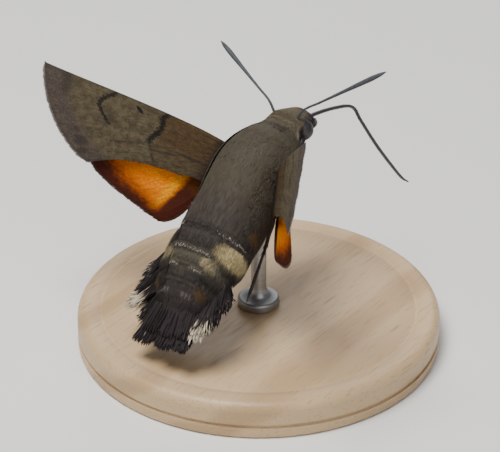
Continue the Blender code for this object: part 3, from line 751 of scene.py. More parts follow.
    # a painted shadow in a ring just behind each eye, in the gap between its rim and the fur, with a pale line behind
    # that
    aside = graph.math("DIVIDE", graph.math("SUBTRACT", off_top, 8.3), 2.15)
    ahead = graph.math("DIVIDE", graph.math("SUBTRACT", x, 4.42), 1.15)
    far = graph.math("SQRT", graph.math("ADD", graph.math("POWER", graph.math("ABSOLUTE", aside), 2.0),
                                        graph.math("POWER", graph.math("ABSOLUTE", ahead), 2.0)))
    line = graph.math("MULTIPLY", graph.ease(far, 1.62, 1.48), graph.ease(x, 4.1, 3.7))
    line = graph.math("MULTIPLY", line, graph.ease(off_top, 7.8, 6.8))
    colour = graph.mix(graph.math("MULTIPLY", line, 0.75), colour, (0.30, 0.25, 0.20))
    # painted shadow in the gap behind the eye
    eye_rim_shadow = graph.math("MULTIPLY", graph.ease(far, 1.34, 1.22), graph.ease(x, 4.7, 4.2))
    colour = graph.mix(graph.math("MULTIPLY", eye_rim_shadow, 0.95), colour, (0.010, 0.007, 0.008))

    shade = graph.math("MULTIPLY_ADD", given["Tint"], 0.5, 0.75)
    shades = graph.join(shade, shade, shade)
    graph.feed(result["Color"], graph.mix(1.0, colour, shades, "MULTIPLY"))
    return tree


def streak_group(name):
    """Fine hair-like grain that runs along the body, as a height and a tint."""
    tree, graph, given, result = new_group(
        name, (("Place", "Vector", (0.0, 0.0, 0.0)), ("Scale", "Float", 6.0)),
        (("Height", "Float"), ("Tint", "Float")))
    fine = graph.noise(graph.scaled(given["Place"], (0.25, 1.0, 1.0)), given["Scale"], 3.0, 0.65)
    broad = graph.noise(given["Place"], graph.math("MULTIPLY", given["Scale"], 0.22), 2.0, 0.5)
    graph.feed(result["Height"], graph.math("MULTIPLY_ADD", broad, 0.4, fine))
    graph.feed(result["Tint"], graph.ease(fine, 0.3, 0.7))
    return tree


def scale_group(name):
    """Tiny overlapping scales, as a height and a tint, laid in rows across the first direction."""
    tree, graph, given, result = new_group(
        name, (("Place", "Vector", (0.0, 0.0, 0.0)), ("Scale", "Float", 6.0)),
        (("Height", "Float"), ("Tint", "Float")))
    stretched = graph.scaled(given["Place"], (0.5, 1.0, 1.0))
    cells = graph.cells(stretched, given["Scale"])
    grain = graph.noise(stretched, graph.math("MULTIPLY", given["Scale"], 1.6), 2.0, 0.6)
    graph.feed(result["Height"], graph.math("SUBTRACT", grain, cells))
    graph.feed(result["Tint"], graph.ease(graph.math("ADD", grain, graph.math("MULTIPLY", cells, 0.3)), 0.4, 0.85))
    return tree


def material_graph(name, roughness, **constants):
    """A new material, its graph and its shader, with constants set on the shader's sockets."""
    material = bpy.data.materials.new(name)
    material.use_nodes = True
    shader = material.node_tree.nodes["Principled BSDF"]
    graph = Graph(material.node_tree)
    shader.inputs["Roughness"].default_value = roughness
    for title, value in constants.items():
        graph.feed(shader.inputs[title.replace("_", " ")], value)
    return material, graph, shader


def coat_material(name, bump_strength):
    """Fur and scales of the body: markings and painted shade by the root's place, painted shade at each tuft's root
    and painted light at its tip, paler at chosen tips.
    """
    material, graph, shader = material_graph(name, 0.72, Specular_IOR_Level=0.25, Sheen_Weight=0.03, Sheen_Roughness=0.5)
    along, tint, pale = graph.split(graph.attribute("tuft"))
    place = graph.attribute("place")
    marks = graph.group(shared("body markings and painted shade", markings_and_shade_group), place=place,
                        lie=graph.attribute("lie"), tint=tint).outputs[0]
    streak = graph.group(shared("fur streaks", streak_group), place=place, scale=5.0)
    # painted shade at each tuft's root, where the coat shades itself, and painted light at its tip
    painted_root_shade_and_tip_light = graph.ease(along, 0.2, 1.0, 0.84, 1.14)
    colour = graph.mix(1.0, marks, graph.join(painted_root_shade_and_tip_light, painted_root_shade_and_tip_light, painted_root_shade_and_tip_light), "MULTIPLY")
    start = graph.math("SUBTRACT", 1.05, graph.math("MULTIPLY", pale, 0.62))
    tip = graph.math("MULTIPLY", graph.ease(along, start, graph.math("ADD", start, 0.14)),
                     graph.math("GREATER_THAN", pale, 0.01))
    colour = graph.mix(tip, colour, PALE_TIP)
    graph.feed(shader.inputs["Base Color"], colour)
    graph.feed(shader.inputs["Roughness"], graph.ease(streak.outputs["Tint"], 0.0, 1.0, 0.62, 0.82))
    if bump_strength:
        graph.feed(shader.inputs["Normal"], graph.bump(streak.outputs["Height"], bump_strength, 0.2 * MM))
    return material


def dark_blade_material(name):
    """Black-brown scales of the tail fan and side tufts, with cream tips where they are pale."""
    coat = bpy.context.scene.moth_coat
    material, graph, shader = material_graph(name, 0.65, Specular_IOR_Level=0.16, Sheen_Weight=0.03, Sheen_Roughness=0.45)
    along, tint, pale = graph.split(graph.attribute("tuft"))
    place = graph.attribute("place")
    streak = graph.group(shared("fur streaks", streak_group), place=place, scale=4.0)
    brown = tuple(part * tone for part, tone in zip(coat.tail, (1.8, 1.7, 1.8)))
    mixed = graph.math("MULTIPLY", tint, streak.outputs["Tint"])
    colour = graph.mix(graph.ease(mixed, 0.15, 0.6), coat.tail, brown)
    fluff = graph.math("ADD", along, graph.math("MULTIPLY_ADD", streak.outputs["Tint"], 0.3, -0.15))
    colour = graph.mix(graph.ease(fluff, 0.45, 0.05), colour, (0.040, 0.031, 0.028))
    start = graph.math("SUBTRACT", 1.0, graph.math("MULTIPLY", pale, 0.55))
    start = graph.math("ADD", start, graph.math("MULTIPLY_ADD", tint, 0.2, -0.1))
    tip = graph.math("MULTIPLY", graph.ease(along, start, graph.math("ADD", start, 0.25)),
                     graph.math("GREATER_THAN", pale, 0.01))
    colour = graph.mix(tip, colour, tuple(min(1.0, part * tone) for part, tone in zip(coat.cream, (1.45, 1.55, 2.2))))
    graph.feed(shader.inputs["Base Color"], colour)
    graph.feed(shader.inputs["Roughness"], graph.ease(streak.outputs["Tint"], 0.0, 1.0, 0.45, 0.7))
    return material


def cross_line(graph, back, out, points, half_width, soft=0.09):
    """Mask of a line drawn across the wing through points of (back, out)."""
    reach = (12.0, 22.0)
    places = [(b / reach[0], a / reach[1]) for b, a in points]
    middle = graph.math("MULTIPLY", graph.curve(graph.math("DIVIDE", back, reach[0]), places), reach[1])
    away = graph.math("ABSOLUTE", graph.math("SUBTRACT", out, middle))
    near = graph.ease(away, half_width + soft, half_width - soft)
    start = graph.ease(back, points[0][0] - 0.15, points[0][0] + 0.05)
    end = graph.ease(back, points[-1][0] + 0.2, points[-1][0] - 0.2)
    return graph.math("MULTIPLY", graph.math("MULTIPLY", near, start), end)


def oval(graph, out, back, middle, sizes, turn=0.0, soft=0.25):
    """Mask of a soft oval at (out, back) on a wing, turned by an angle in degrees."""
    across = graph.math("SUBTRACT", out, middle[0])
    down = graph.math("SUBTRACT", back, middle[1])
    cosine = math.cos(math.radians(turn))
    sine = math.sin(math.radians(turn))
    first = graph.math("ADD", graph.math("MULTIPLY", across, cosine), graph.math("MULTIPLY", down, sine))
    second = graph.math("SUBTRACT", graph.math("MULTIPLY", down, cosine), graph.math("MULTIPLY", across, sine))
    far = graph.math("ADD", graph.math("POWER", graph.math("DIVIDE", first, sizes[0]), 2.0),
                     graph.math("POWER", graph.math("DIVIDE", second, sizes[1]), 2.0))
    return graph.ease(graph.math("SQRT", far), 1.0 + soft, 1.0 - soft)


def vein_lines(graph, out, back, wander, count, ahead):
    """Mask of fine lines that fan out from a point ahead of the wing's root."""
    spread = graph.math("DIVIDE", back, graph.math("ADD", out, ahead))
    spread = graph.math("ADD", spread, graph.math("MULTIPLY_ADD", wander, 0.04, -0.02))
    away = graph.math("PINGPONG", graph.math("MULTIPLY", spread, count), 0.5)
    away = graph.math("MULTIPLY", away, graph.math("ADD", out, ahead))
    return graph.ease(away, 0.85, 0.25)


def wing_inputs(graph):
    """The wing's own places: out and back in millimetres, shares out and across, and the side."""
    out, back, _ = graph.split(graph.attribute("wing"))
    reach, line, under = graph.split(graph.attribute("edge"))
    return out, back, reach, line, under


def forewing_material():
    wings = bpy.context.scene.moth_wings
    material, graph, shader = material_graph("forewing scales", 0.66, Specular_IOR_Level=0.15)
    out, back, reach, line, under = wing_inputs(graph)
    flat = graph.join(out, back, 0.0)
    wander = graph.noise(flat, 1.3, 3.0, 0.6)
    rough = graph.noise(flat, 5.0, 2.0, 0.6)
    out_bent = graph.math("ADD", out, graph.math("MULTIPLY_ADD", rough, 1.1, -0.55))
    scales = graph.group(shared("wing scales", scale_group), place=flat, scale=7.0)
    streaks = graph.noise(graph.scaled(flat, (0.6, 1.2, 1.0)), 2.2, 4.0, 0.7)

    green_grey = tuple(part * tone for part, tone in zip(wings.forewing, (1.20, 1.20, 1.10)))
    dull = tuple(part * tone for part, tone in zip(wings.forewing, (0.74, 0.68, 0.62)))
    colour = graph.mix(graph.ease(wander, 0.35, 0.65), dull, green_grey)
    colour = graph.mix(graph.math("MULTIPLY", graph.ease(streaks, 0.45, 0.75), 0.4), colour, dull)

    base = graph.ease(graph.math("ADD", out_bent, graph.math("MULTIPLY", back, 0.25)), 8.6, 7.0)
    warm = graph.mix(graph.ease(streaks, 0.4, 0.7), (0.070, 0.040, 0.016), (0.036, 0.022, 0.011))
    upper_half = graph.ease(back, 5.2, 3.4, 0.35, 0.9)
    colour = graph.mix(graph.math("MULTIPLY", base, upper_half), colour, warm)
    grain = graph.noise(graph.scaled(flat, (0.22, 2.6, 1.0)), 2.0, 3.0, 0.6)
    grain = graph.math("MULTIPLY", graph.ease(grain, 0.56, 0.70), graph.ease(out_bent, 10.5, 6.5))
    colour = graph.mix(graph.math("MULTIPLY", grain, 0.55), colour, (0.020, 0.014, 0.011))

    veins = vein_lines(graph, out, back, wander, 11.0, 4.0)
    colour = graph.mix(graph.math("MULTIPLY", veins, 0.28), colour, (0.026, 0.020, 0.016))
    # painted shadow at the wing's root, in the gap between the body and the wing
    root = graph.ease(out, 1.9, 0.2, 0.0, 0.85)
    colour = graph.mix(root, colour, (0.016, 0.012, 0.012))

    rim = graph.math("ADD", reach, graph.math("MULTIPLY_ADD", wander, 0.16, -0.08))
    rim = graph.math("MULTIPLY", graph.ease(rim, 0.80, 0.93), graph.ease(streaks, 0.35, 0.6, 0.55, 1.0))
    rim_colour = graph.mix(graph.ease(rough, 0.35, 0.65), (0.040, 0.030, 0.031), (0.062, 0.047, 0.044))
    colour = graph.mix(graph.math("MULTIPLY", rim, 0.85), colour, rim_colour)
    apex = oval(graph, out_bent, back, (17.7, 3.7), (0.55, 1.35), 24.0, 0.5)
    colour = graph.mix(graph.math("MULTIPLY", apex, 0.6), colour, (0.026, 0.021, 0.019))
    for middle, sizes, turn, strength in (
            ((13.3, 8.4), (0.7, 0.45), 20.0, 0.7), ((14.3, 7.6), (0.4, 0.3), 0.0, 0.5),
            ((12.6, 9.2), (0.55, 0.35), 0.0, 0.5), ((13.0, 7.0), (0.5, 0.3), -20.0, 0.4),
            ((12.3, 5.0), (1.0, 0.8), 30.0, 0.35), ((9.2, 6.0), (2.3, 0.13), 29.0, 0.5),
            ((5.4, 4.95), (1.4, 0.12), 20.0, 0.7), ((2.7, 4.05), (1.5, 0.13), 8.0, 0.7)):
        spot = oval(graph, out_bent, back, middle, sizes, turn, 0.5)
        colour = graph.mix(graph.math("MULTIPLY", spot, strength), colour, (0.024, 0.018, 0.018))

    dark = tuple(part * 0.7 for part in wings.cross_lines)
    for points, half_width, strength in ((OUTER_LINE, 0.25, 0.9), (INNER_LINE, 0.29, 0.97),
                                         (THIN_LINE, 0.08, 0.7)):
        mask = cross_line(graph, back, out_bent, points, half_width)
        colour = graph.mix(graph.math("MULTIPLY", mask, strength), colour, dark)
    dash = oval(graph, out, back, (9.75, 2.45), (0.52, 0.17), -20.0, 0.3)
    colour = graph.mix(dash, colour, dark)
    costa = graph.ease(line, 0.035, 0.0)
    colour = graph.mix(graph.math("MULTIPLY", costa, 0.6), colour, (0.030, 0.025, 0.021))

    below = graph.mix(graph.ease(out, 3.0, 15.0), (0.40, 0.13, 0.012), (0.10, 0.070, 0.045))
    below = graph.mix(graph.math("MULTIPLY", graph.ease(streaks, 0.4, 0.7), 0.4), below, (0.08, 0.050, 0.028))
    below = graph.mix(graph.math("MULTIPLY", veins, 0.5), below, (0.040, 0.024, 0.014))
    below = graph.mix(graph.math("MULTIPLY", rim, 0.8), below, (0.055, 0.042, 0.040))
    colour = graph.mix(under, colour, below)

    finish_wing(graph, shader, colour, scales, streaks, veins)
    return material


def finish_wing(graph, shader, colour, scales, streaks, veins):
    """Fringe, scale grain and relief that the two pairs of wings share."""
    along, tint, fringe = graph.split(graph.attribute("tuft"))
    pale = graph.mix(graph.ease(along, 0.3, 0.9), (0.06, 0.046, 0.044), (0.24, 0.21, 0.19))
    colour = graph.mix(fringe, colour, pale)
    shade = graph.math("MULTIPLY_ADD", scales.outputs["Tint"], 0.44, 0.78)
    shade = graph.math("MULTIPLY", shade, graph.math("MULTIPLY_ADD", tint, 0.3, 0.85))
    colour = graph.mix(1.0, colour, graph.join(shade, shade, shade), "MULTIPLY")
    graph.feed(shader.inputs["Base Color"], colour)
    graph.feed(shader.inputs["Roughness"], graph.ease(scales.outputs["Tint"], 0.0, 1.0, 0.55, 0.75))
    height = graph.math("MULTIPLY_ADD", streaks, 0.5, scales.outputs["Height"])
    height = graph.math("MULTIPLY_ADD", veins, 0.8, height)
    graph.feed(shader.inputs["Normal"], graph.bump(height, 0.35, 0.08 * MM))


def hindwing_material():
    wings = bpy.context.scene.moth_wings
    material, graph, shader = material_graph("hindwing scales", 0.66, Specular_IOR_Level=0.04)
    out, back, reach, line, under = wing_inputs(graph)
    flat = graph.join(out, back, 0.0)
    wander = graph.noise(flat, 1.2, 3.0, 0.6)
    scales = graph.group(shared("wing scales", scale_group), place=flat, scale=7.0)
    streaks = graph.noise(graph.scaled(flat, (0.4, 1.3, 1.0)), 1.8, 3.0, 0.65)

    deep = tuple(part * tone for part, tone in zip(wings.hindwing, (0.84, 0.62, 0.6)))
    light = tuple(min(1.0, part * tone) for part, tone in zip(wings.hindwing, (0.96, 1.25, 0.3)))
    colour = graph.mix(graph.ease(streaks, 0.35, 0.65), deep, wings.hindwing)
    # the rear field lies beyond a fold that runs from the root to the rear corner, with a painted highlight along the
    # fold
    fold = graph.math("SUBTRACT", out, graph.math("MULTIPLY", back, 0.26))
    crease = graph.math("MULTIPLY", graph.ease(fold, 0.15, 0.55), graph.ease(fold, 1.3, 0.7))
    colour = graph.mix(graph.math("MULTIPLY", crease, 0.85), colour, light)

    veins = vein_lines(graph, out, back, wander, 7.0, 2.5)
    colour = graph.mix(graph.math("MULTIPLY", veins, 0.22), colour, (0.34, 0.065, 0.003))
    rim = graph.math("ADD", reach, graph.math("MULTIPLY_ADD", wander, 0.12, -0.06))
    rim = graph.math("ADD", rim, graph.math("MULTIPLY_ADD", streaks, 0.24, -0.12))
    border = graph.ease(rim, 0.66, 0.94)
    colour = graph.mix(graph.math("MULTIPLY", graph.ease(rim, 0.45, 0.85), 0.7), colour, (0.36, 0.055, 0.004))
    colour = graph.mix(border, colour, wings.border)
    rear = graph.ease(graph.math("ADD", fold, graph.math("MULTIPLY_ADD", wander, 0.6, -0.3)), 0.42, -0.30)
    colour = graph.mix(rear, colour, tuple(part * 1.3 for part in wings.border))
    front = graph.ease(out, 3.2, 0.8)
    front = graph.math("MULTIPLY", front, graph.ease(back, 7.6, 6.2))
    colour = graph.mix(graph.math("MULTIPLY", front, 0.75), colour, (0.14, 0.048, 0.010))

    below = graph.mix(graph.ease(reach, 0.25, 0.95), (0.62, 0.30, 0.055), (0.34, 0.115, 0.030))
    below = graph.mix(graph.math("MULTIPLY", veins, 0.4), below, (0.30, 0.11, 0.020))
    below = graph.mix(graph.math("MULTIPLY", graph.ease(streaks, 0.4, 0.7), 0.3), below, (0.36, 0.15, 0.030))
    below = graph.mix(graph.math("MULTIPLY", graph.ease(line, 0.72, 0.95), 0.8), below, (0.62, 0.46, 0.16))
    colour = graph.mix(under, colour, below)
    finish_wing(graph, shader, colour, scales, streaks, veins)
    return material


def horn_material(name, colour, ring_scale, roughness=0.5, pale_below=None):
    """Smooth horny tubes with fine scales: feelers, proboscis and legs."""
    material, graph, shader = material_graph(name, roughness)
    place = graph.attribute("place")
    along, tint, _ = graph.split(graph.attribute("tuft"))
    scales = graph.group(shared("wing scales", scale_group), place=place, scale=9.0)
    light = tuple(part * 1.9 for part in colour)
    shades = graph.mix(scales.outputs["Tint"], colour, light)
    rings = graph.math("SINE", graph.math("MULTIPLY", along, 2 * math.pi * ring_scale))
    shades = graph.mix(graph.ease(rings, 0.2, 1.0, 0.0, 0.45), shades, tuple(part * 0.45 for part in colour))
    if pale_below:
        facing = graph.split(graph.add("NewGeometry").outputs["Normal"])[2]
        shades = graph.mix(graph.ease(facing, 0.0, -0.8, 0.0, 0.6), shades, pale_below)
    graph.feed(shader.inputs["Base Color"], shades)
    graph.feed(shader.inputs["Normal"], graph.bump(scales.outputs["Height"], 0.3, 0.04 * MM))
    return material


def palp_material():
    """Scales of the palps: grey-brown above, whitish below."""
    material, graph, shader = material_graph("palp scales", 0.75)
    along, tint, _ = graph.split(graph.attribute("tuft"))
    place = graph.attribute("place")
    streak = graph.group(shared("fur streaks", streak_group), place=place, scale=6.0)
    height = graph.split(place)[2]
    colour = graph.mix(graph.ease(height, -3.5, -3.2), (0.46, 0.42, 0.36), (0.050, 0.042, 0.042))
    shade = graph.math("MULTIPLY_ADD", tint, 0.5, 0.75)
    colour = graph.mix(1.0, colour, graph.join(shade, shade, shade), "MULTIPLY")
    graph.feed(shader.inputs["Base Color"], colour)
    graph.feed(shader.inputs["Roughness"], graph.ease(streak.outputs["Tint"], 0.0, 1.0, 0.65, 0.85))
    return material


def eye_material():
    """Dark purple-grey eye with fine facets."""
    material, graph, shader = material_graph("eye facets", 0.45, Specular_IOR_Level=0.35, Coat_Weight=0.08, Coat_Roughness=0.2)
    place = graph.attribute("place")
    facets = graph.cells(place, 22.0)
    cloud = graph.noise(place, 1.6, 2.0, 0.5)
    colour = graph.mix(graph.ease(cloud, 0.3, 0.7), (0.020, 0.016, 0.018), (0.040, 0.032, 0.035))
    colour = graph.mix(graph.ease(facets, 0.5, 0.2, 0.0, 0.3), colour, (0.060, 0.050, 0.054))
    graph.feed(shader.inputs["Base Color"], colour)
    graph.feed(shader.inputs["Normal"], graph.bump(facets, 0.25, 0.02 * MM))
    return material


def wood_material():
    """Pale close-grained wood, waxed: growth lines along the board, with fine pores."""
    material, graph, shader = material_graph("waxed wood", 0.42)
    wood = bpy.context.scene.moth_stand.wood
    place = graph.add("TexCoord").outputs["Object"]
    bent = graph.noise(graph.scaled(place, (30.0, 8.0, 30.0)), 2.0, 3.0, 0.5)
    x, y, z = graph.split(place)
    rings = graph.math("ADD", graph.math("MULTIPLY", x, 520.0), graph.math("MULTIPLY", z, 900.0))
    rings = graph.math("SINE", graph.math("ADD", rings, graph.math("MULTIPLY", bent, 9.0)))
    pores = graph.noise(graph.scaled(place, (1.0, 0.06, 1.0)), 5200.0, 2.0, 0.6)
    late = tuple(part * tone for part, tone in zip(wood, (0.72, 0.64, 0.55)))
    colour = graph.mix(graph.ease(rings, 0.1, 1.0, 0.0, 0.75), wood, late)
    colour = graph.mix(graph.ease(pores, 0.56, 0.70, 0.0, 0.55), colour, tuple(part * 0.5 for part in wood))
    tone = graph.noise(place, 90.0, 2.0, 0.5)
    colour = graph.mix(graph.ease(tone, 0.3, 0.7, 0.0, 0.3), colour, tuple(part * 0.8 for part in wood))
    graph.feed(shader.inputs["Base Color"], colour)
    graph.feed(shader.inputs["Roughness"], graph.ease(pores, 0.3, 0.7, 0.36, 0.55))
    height = graph.math("SUBTRACT", graph.math("MULTIPLY", rings, 0.15), pores)
    graph.feed(shader.inputs["Normal"], graph.bump(height, 0.18, 0.05 * MM))
    return material


def steel_material():
    """Brushed steel, with fine lines round the rod."""
    material, graph, shader = material_graph("brushed steel", 0.3, Metallic=1.0)
    place = graph.add("TexCoord").outputs["Object"]
    brushed = graph.noise(graph.scaled(place, (60.0, 60.0, 5200.0)), 1.0, 3.0, 0.7)
    smudge = graph.noise(place, 420.0, 3.0, 0.6)
    colour = graph.mix(graph.ease(brushed, 0.3, 0.7), (0.30, 0.30, 0.31), (0.42, 0.42, 0.42))
    colour = graph.mix(graph.ease(smudge, 0.45, 0.75, 0.0, 0.3), colour, (0.22, 0.22, 0.23))
    graph.feed(shader.inputs["Base Color"], colour)
    graph.feed(shader.inputs["Roughness"], graph.ease(brushed, 0.3, 0.7, 0.36, 0.52))
    graph.feed(shader.inputs["Normal"], graph.bump(brushed, 0.15, 0.02 * MM))
    return material


def floor_material():
    """Pale matt studio floor with a very slight tooth."""
    material, graph, shader = material_graph("pale floor", 0.85)
    floor = bpy.context.scene.moth_stand.floor
    place = graph.add("TexCoord").outputs["Object"]
    tone = graph.noise(place, 9.0, 4.0, 0.5)
    colour = graph.mix(graph.ease(tone, 0.3, 0.7), floor, tuple(part * 0.96 for part in floor))
    graph.feed(shader.inputs["Base Color"], colour)
    graph.feed(shader.inputs["Normal"], graph.bump(graph.noise(place, 1500.0), 0.05, 0.1 * MM))
    return material


def once(make, *values):
    """The material of that maker, made on first use."""
    key = make.__name__ + str(values)
    name = KNOWN_MATERIALS.get(key)
    if name is None or name not in bpy.data.materials:
        KNOWN_MATERIALS[key] = make(*values).name
    return bpy.data.materials[KNOWN_MATERIALS[key]]


KNOWN_MATERIALS = {}


# Pieces

def moth_pose():
    """Matrix that sets the moth over its stand, from the same angles as the part."""
    turn = Euler([math.radians(angle) for angle in (-ROLL_LEFT, -PITCH_UP, HEADING)]).to_matrix()
    belly = turn @ Vector(BELLY_OVER_ROD)
    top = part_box("stand_base")[1][2]
    place = Vector((-belly.x * MM, -belly.y * MM, top + THORAX_ABOVE_BASE * MM))
    return Matrix.Translation(place) @ turn.to_4x4()


def settle(piece, replaced=()):
    """The piece rides on the model's one body and stands for the CAD nodes that it hides."""
    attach(piece, "root")
    if replaced:
        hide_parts(*replaced)
    return piece


def make_skin():
    places = np.concatenate([np.linspace(6.74, 3.0, 60), np.linspace(2.92, -6.7, 90),
                             np.linspace(-6.78, -20.6, 170)])
    angles = np.linspace(0.0, 2 * math.pi, 120, endpoint=False)
    x = places[:, None]
    around = ((angles + math.pi) % (2 * math.pi) - math.pi)[None]
    depth = hermite(COAT_DEPTH, x)
    points = body_point(x, around, depth)
    count = len(angles)
    ends = np.arange(count)
    faces = [grid_faces(len(places), count, closed=True, flip=True), ends[None],
             (len(places) - 1) * count + ends[None, ::-1]]
    shape = Shape()
    # the skin reads as the roots of the tufts, so it takes their painted shade
    marks = np.broadcast_to((0.0, 0.35, 0.0), points.shape)
    shape.add(points, faces, place=points.reshape(-1, 3), lie=lie_of(x, around).reshape(-1, 3),
              tuft=marks.reshape(-1, 3))
    skin = shape.build("skin", once(coat_material, "moth skin", 0.3), moth_pose())
    return settle(skin, ("head", "thorax", "abdomen", "tail_fan"))


# Coat regions: places along the body, tufts, length and width against a thorax tuft's, and rise
COAT_REGIONS = {
    "coat_head": {"places": (2.9, 6.72), "tufts": 14000, "length": 0.62, "width": 0.85, "rise": 0.16,
                  "slot": "head"},
    "coat_thorax_front": {"places": (-1.6, 3.1), "tufts": 16000, "length": 0.72, "width": 0.66,
                          "rise": 0.10, "slot": "thorax"},
    "coat_thorax_rear": {"places": (-7.0, -1.5), "tufts": 15500, "length": 0.85, "width": 0.84,
                         "rise": 0.09, "slot": "thorax"},
    "coat_abdomen_front": {"places": (-12.9, -6.6), "tufts": 17000, "length": 0.72, "width": 1.08,
                           "rise": 0.08, "slot": "abdomen"},
    "coat_abdomen_rear": {"places": (-19.7, -12.7), "tufts": 18500, "length": 0.75, "width": 1.05,
                          "rise": 0.08, "slot": "abdomen"},
}


def make_coat(name, region, seed):
    """Short tufts over one region, laid back along the body and clear of the eyes."""
    coat = bpy.context.scene.moth_coat
    chance = np.random.default_rng(seed)
    spread = even_spread(int(region["tufts"] * coat.fullness), seed)
    start, end = region["places"]
    x = start + (end - start) * spread[:, 0]
    angle = (spread[:, 1] * 2 - 1) * math.pi
    depth = hermite(COAT_DEPTH, x)
    roots, back, across, out = body_frame(x, angle, depth)
    keep = np.ones(len(x), dtype=bool)
    for side in SIDES:
        eye = mirrored(EYE_PLACE, side)
        keep &= np.linalg.norm(roots - eye, axis=1) > EYE_RADIUS * 0.98
    roots, back, across, out, x, angle, spread = (
        item[keep] for item in (roots, back, across, out, x, angle, spread))
    count = len(x)
    turn = chance.normal(0.0, 0.16, count)
    ways = back * np.cos(turn)[:, None] + across * np.sin(turn)[:, None]
    degrees = np.abs(np.degrees(angle))
    shaggy = 1 + 0.40 * ease(degrees, 95, 130) * ease(x, -7.5, -5.5)
    length = coat.tuft_length / MM * region["length"] * chance.uniform(0.75, 1.25, count) * shaggy
    width = coat.tuft_width / MM * region["width"] * chance.uniform(0.75, 1.25, count)
    rise = region["rise"] * chance.uniform(0.5, 1.6, count) * shaggy
    # tufts bow with the round of the thorax, or their tips would stand off it
    bow = 0.05 * ease(x, -5.0, -2.5) * ease(x, 3.4, 2.6)
    shape = Shape()
    add_tufts(shape, roots - out * 0.05, ways, out, length, width, rise=rise, droop=rise * 0.45 + bow,
              sway=chance.normal(0.0, 0.05, count), stations=3, tint=chance.uniform(0.0, 1.0, count),
              spots=spread, place=roots, lie=lie_of(x, angle))
    material = once(coat_material, "moth coat", 0.0)
    return settle(shape.build(name, material, moth_pose()))


RIM_TUFTS = 750


def make_rims():
    """Rows of longer scales along each segment's hind edge, over the step to the next."""
    coat = bpy.context.scene.moth_coat
    chance = np.random.default_rng(31)
    shape = Shape()
    for edge in SEGMENT_EDGES[:-1]:
        count = int(RIM_TUFTS * coat.fullness)
        angle = (np.arange(count) + chance.uniform(-0.4, 0.4, count)) / count * 2 * math.pi - math.pi
        x = edge + 0.30 + chance.uniform(0.0, 0.25, count)
        roots, back, across, out = body_frame(x, angle, 0.15)
        turn = chance.normal(0.0, 0.12, count)
        ways = back * np.cos(turn)[:, None] + across * np.sin(turn)[:, None]
        length = chance.uniform(0.42, 0.62, count)
        degrees = np.abs(np.degrees(angle)) + chance.normal(0.0, 2.0, count)
        marked = np.zeros(count, dtype=bool)
        for place, low, high in PALE_RIMS:
            marked |= (place == edge) & (degrees > low) & (degrees < high)
        pale = np.where(marked, chance.uniform(0.45, 0.85, count), 0.0)
        length = length * np.where(marked, 1.0, 0.7)
        spots = np.stack([(x + 20.6) / 27.4, angle / (2 * math.pi) + 0.5], -1)
        add_tufts(shape, roots, ways, out, length, 0.09, rise=0.03, droop=0.05, pale=pale,
                  tint=chance.uniform(0.1, 0.8, count), spots=spots, place=roots, lie=lie_of(x - 0.2, angle))
    material = once(coat_material, "moth coat", 0.0)
    return settle(shape.build("coat_segment_rims", material, moth_pose()))


# Long hair: places along the body, angles from the back, hairs, greatest length, outward turn, rise, slot
LONG_HAIR = {
    "coat_wing_root_hair": (-6.4, 2.8, 52.0, 120.0, 3200, 1.7, 0.12, 0.16, "thorax"),
    "coat_waist_hair": (-9.8, -3.8, 62.0, 124.0, 3200, 2.0, 0.16, 0.30, "abdomen"),
    "coat_flank_hair": (-13.4, -9.2, 86.0, 132.0, 2200, 1.5, 0.22, 0.28, "abdomen"),
    "coat_rear_flank_hair": (-17.9, -11.0, 36.0, 90.0, 3600, 1.9, 0.10, 0.46, "abdomen"),
    "coat_tail_root_hair": (-19.7, -16.9, -16.0, 86.0, 1500, 2.4, 0.10, 0.12, "abdomen"),
    "coat_cheek_hair": (1.6, 3.7, 96.0, 140.0, 1500, 1.4, 0.0, 0.36, "head"),
}


def make_long_hair():
    """Longer hair over the wing roots, down both flanks and on the cheeks behind the eyes."""
    coat = bpy.context.scene.moth_coat
    chance = np.random.default_rng(37)
    for name, (start, end, low, high, share, longest, outward, rise, slot) in LONG_HAIR.items():
        shape = Shape()
        for side in SIDES:
            flip = 1.0 if side == "left" else -1.0
            count = int(share * coat.fullness)
            spread = even_spread(count, 41)
            x = start + (end - start) * spread[:, 0]
            angle = np.radians(low + (high - low) * spread[:, 1]) * flip
            roots, back, across, out = body_frame(x, angle, 0.20)
            turn = flip * (outward + chance.normal(0.0, 0.12, count))
            ways = back * np.cos(turn)[:, None] + across * np.sin(turn)[:, None]
            inside = np.sqrt(np.sin(math.pi * spread[:, 0]) * np.sin(math.pi * spread[:, 1]))
            length = longest * chance.uniform(0.6, 1.0, count) * (0.3 + 0.7 * inside)
            spots = np.stack([(x + 20.6) / 27.4, angle / (2 * math.pi) + 0.5], -1)
            add_tufts(shape, roots, ways, out, length, 0.10, rise=rise, droop=0.35 * rise,
                      sway=flip * chance.normal(0.02, 0.05, count), stations=4,
                      tint=chance.uniform(0.0, 0.9, count), spots=spots, place=roots,
                      lie=lie_of(x - 0.55 * length, angle))
        settle(shape.build(name, once(coat_material, "moth coat", 0.0), moth_pose()))


def flank(x, degrees, depth):
    """Points under the abdomen's flank, by angle from the top of the back."""
    sizes = [hermite(BODY_SECTIONS, x, column) for column in (1, 2, 3)]
    turn = np.radians(degrees)
    inward = 1.0 - depth
    return np.stack([x, sizes[0] * inward * np.sin(turn), sizes[2] + sizes[1] * inward * np.cos(turn)], -1)


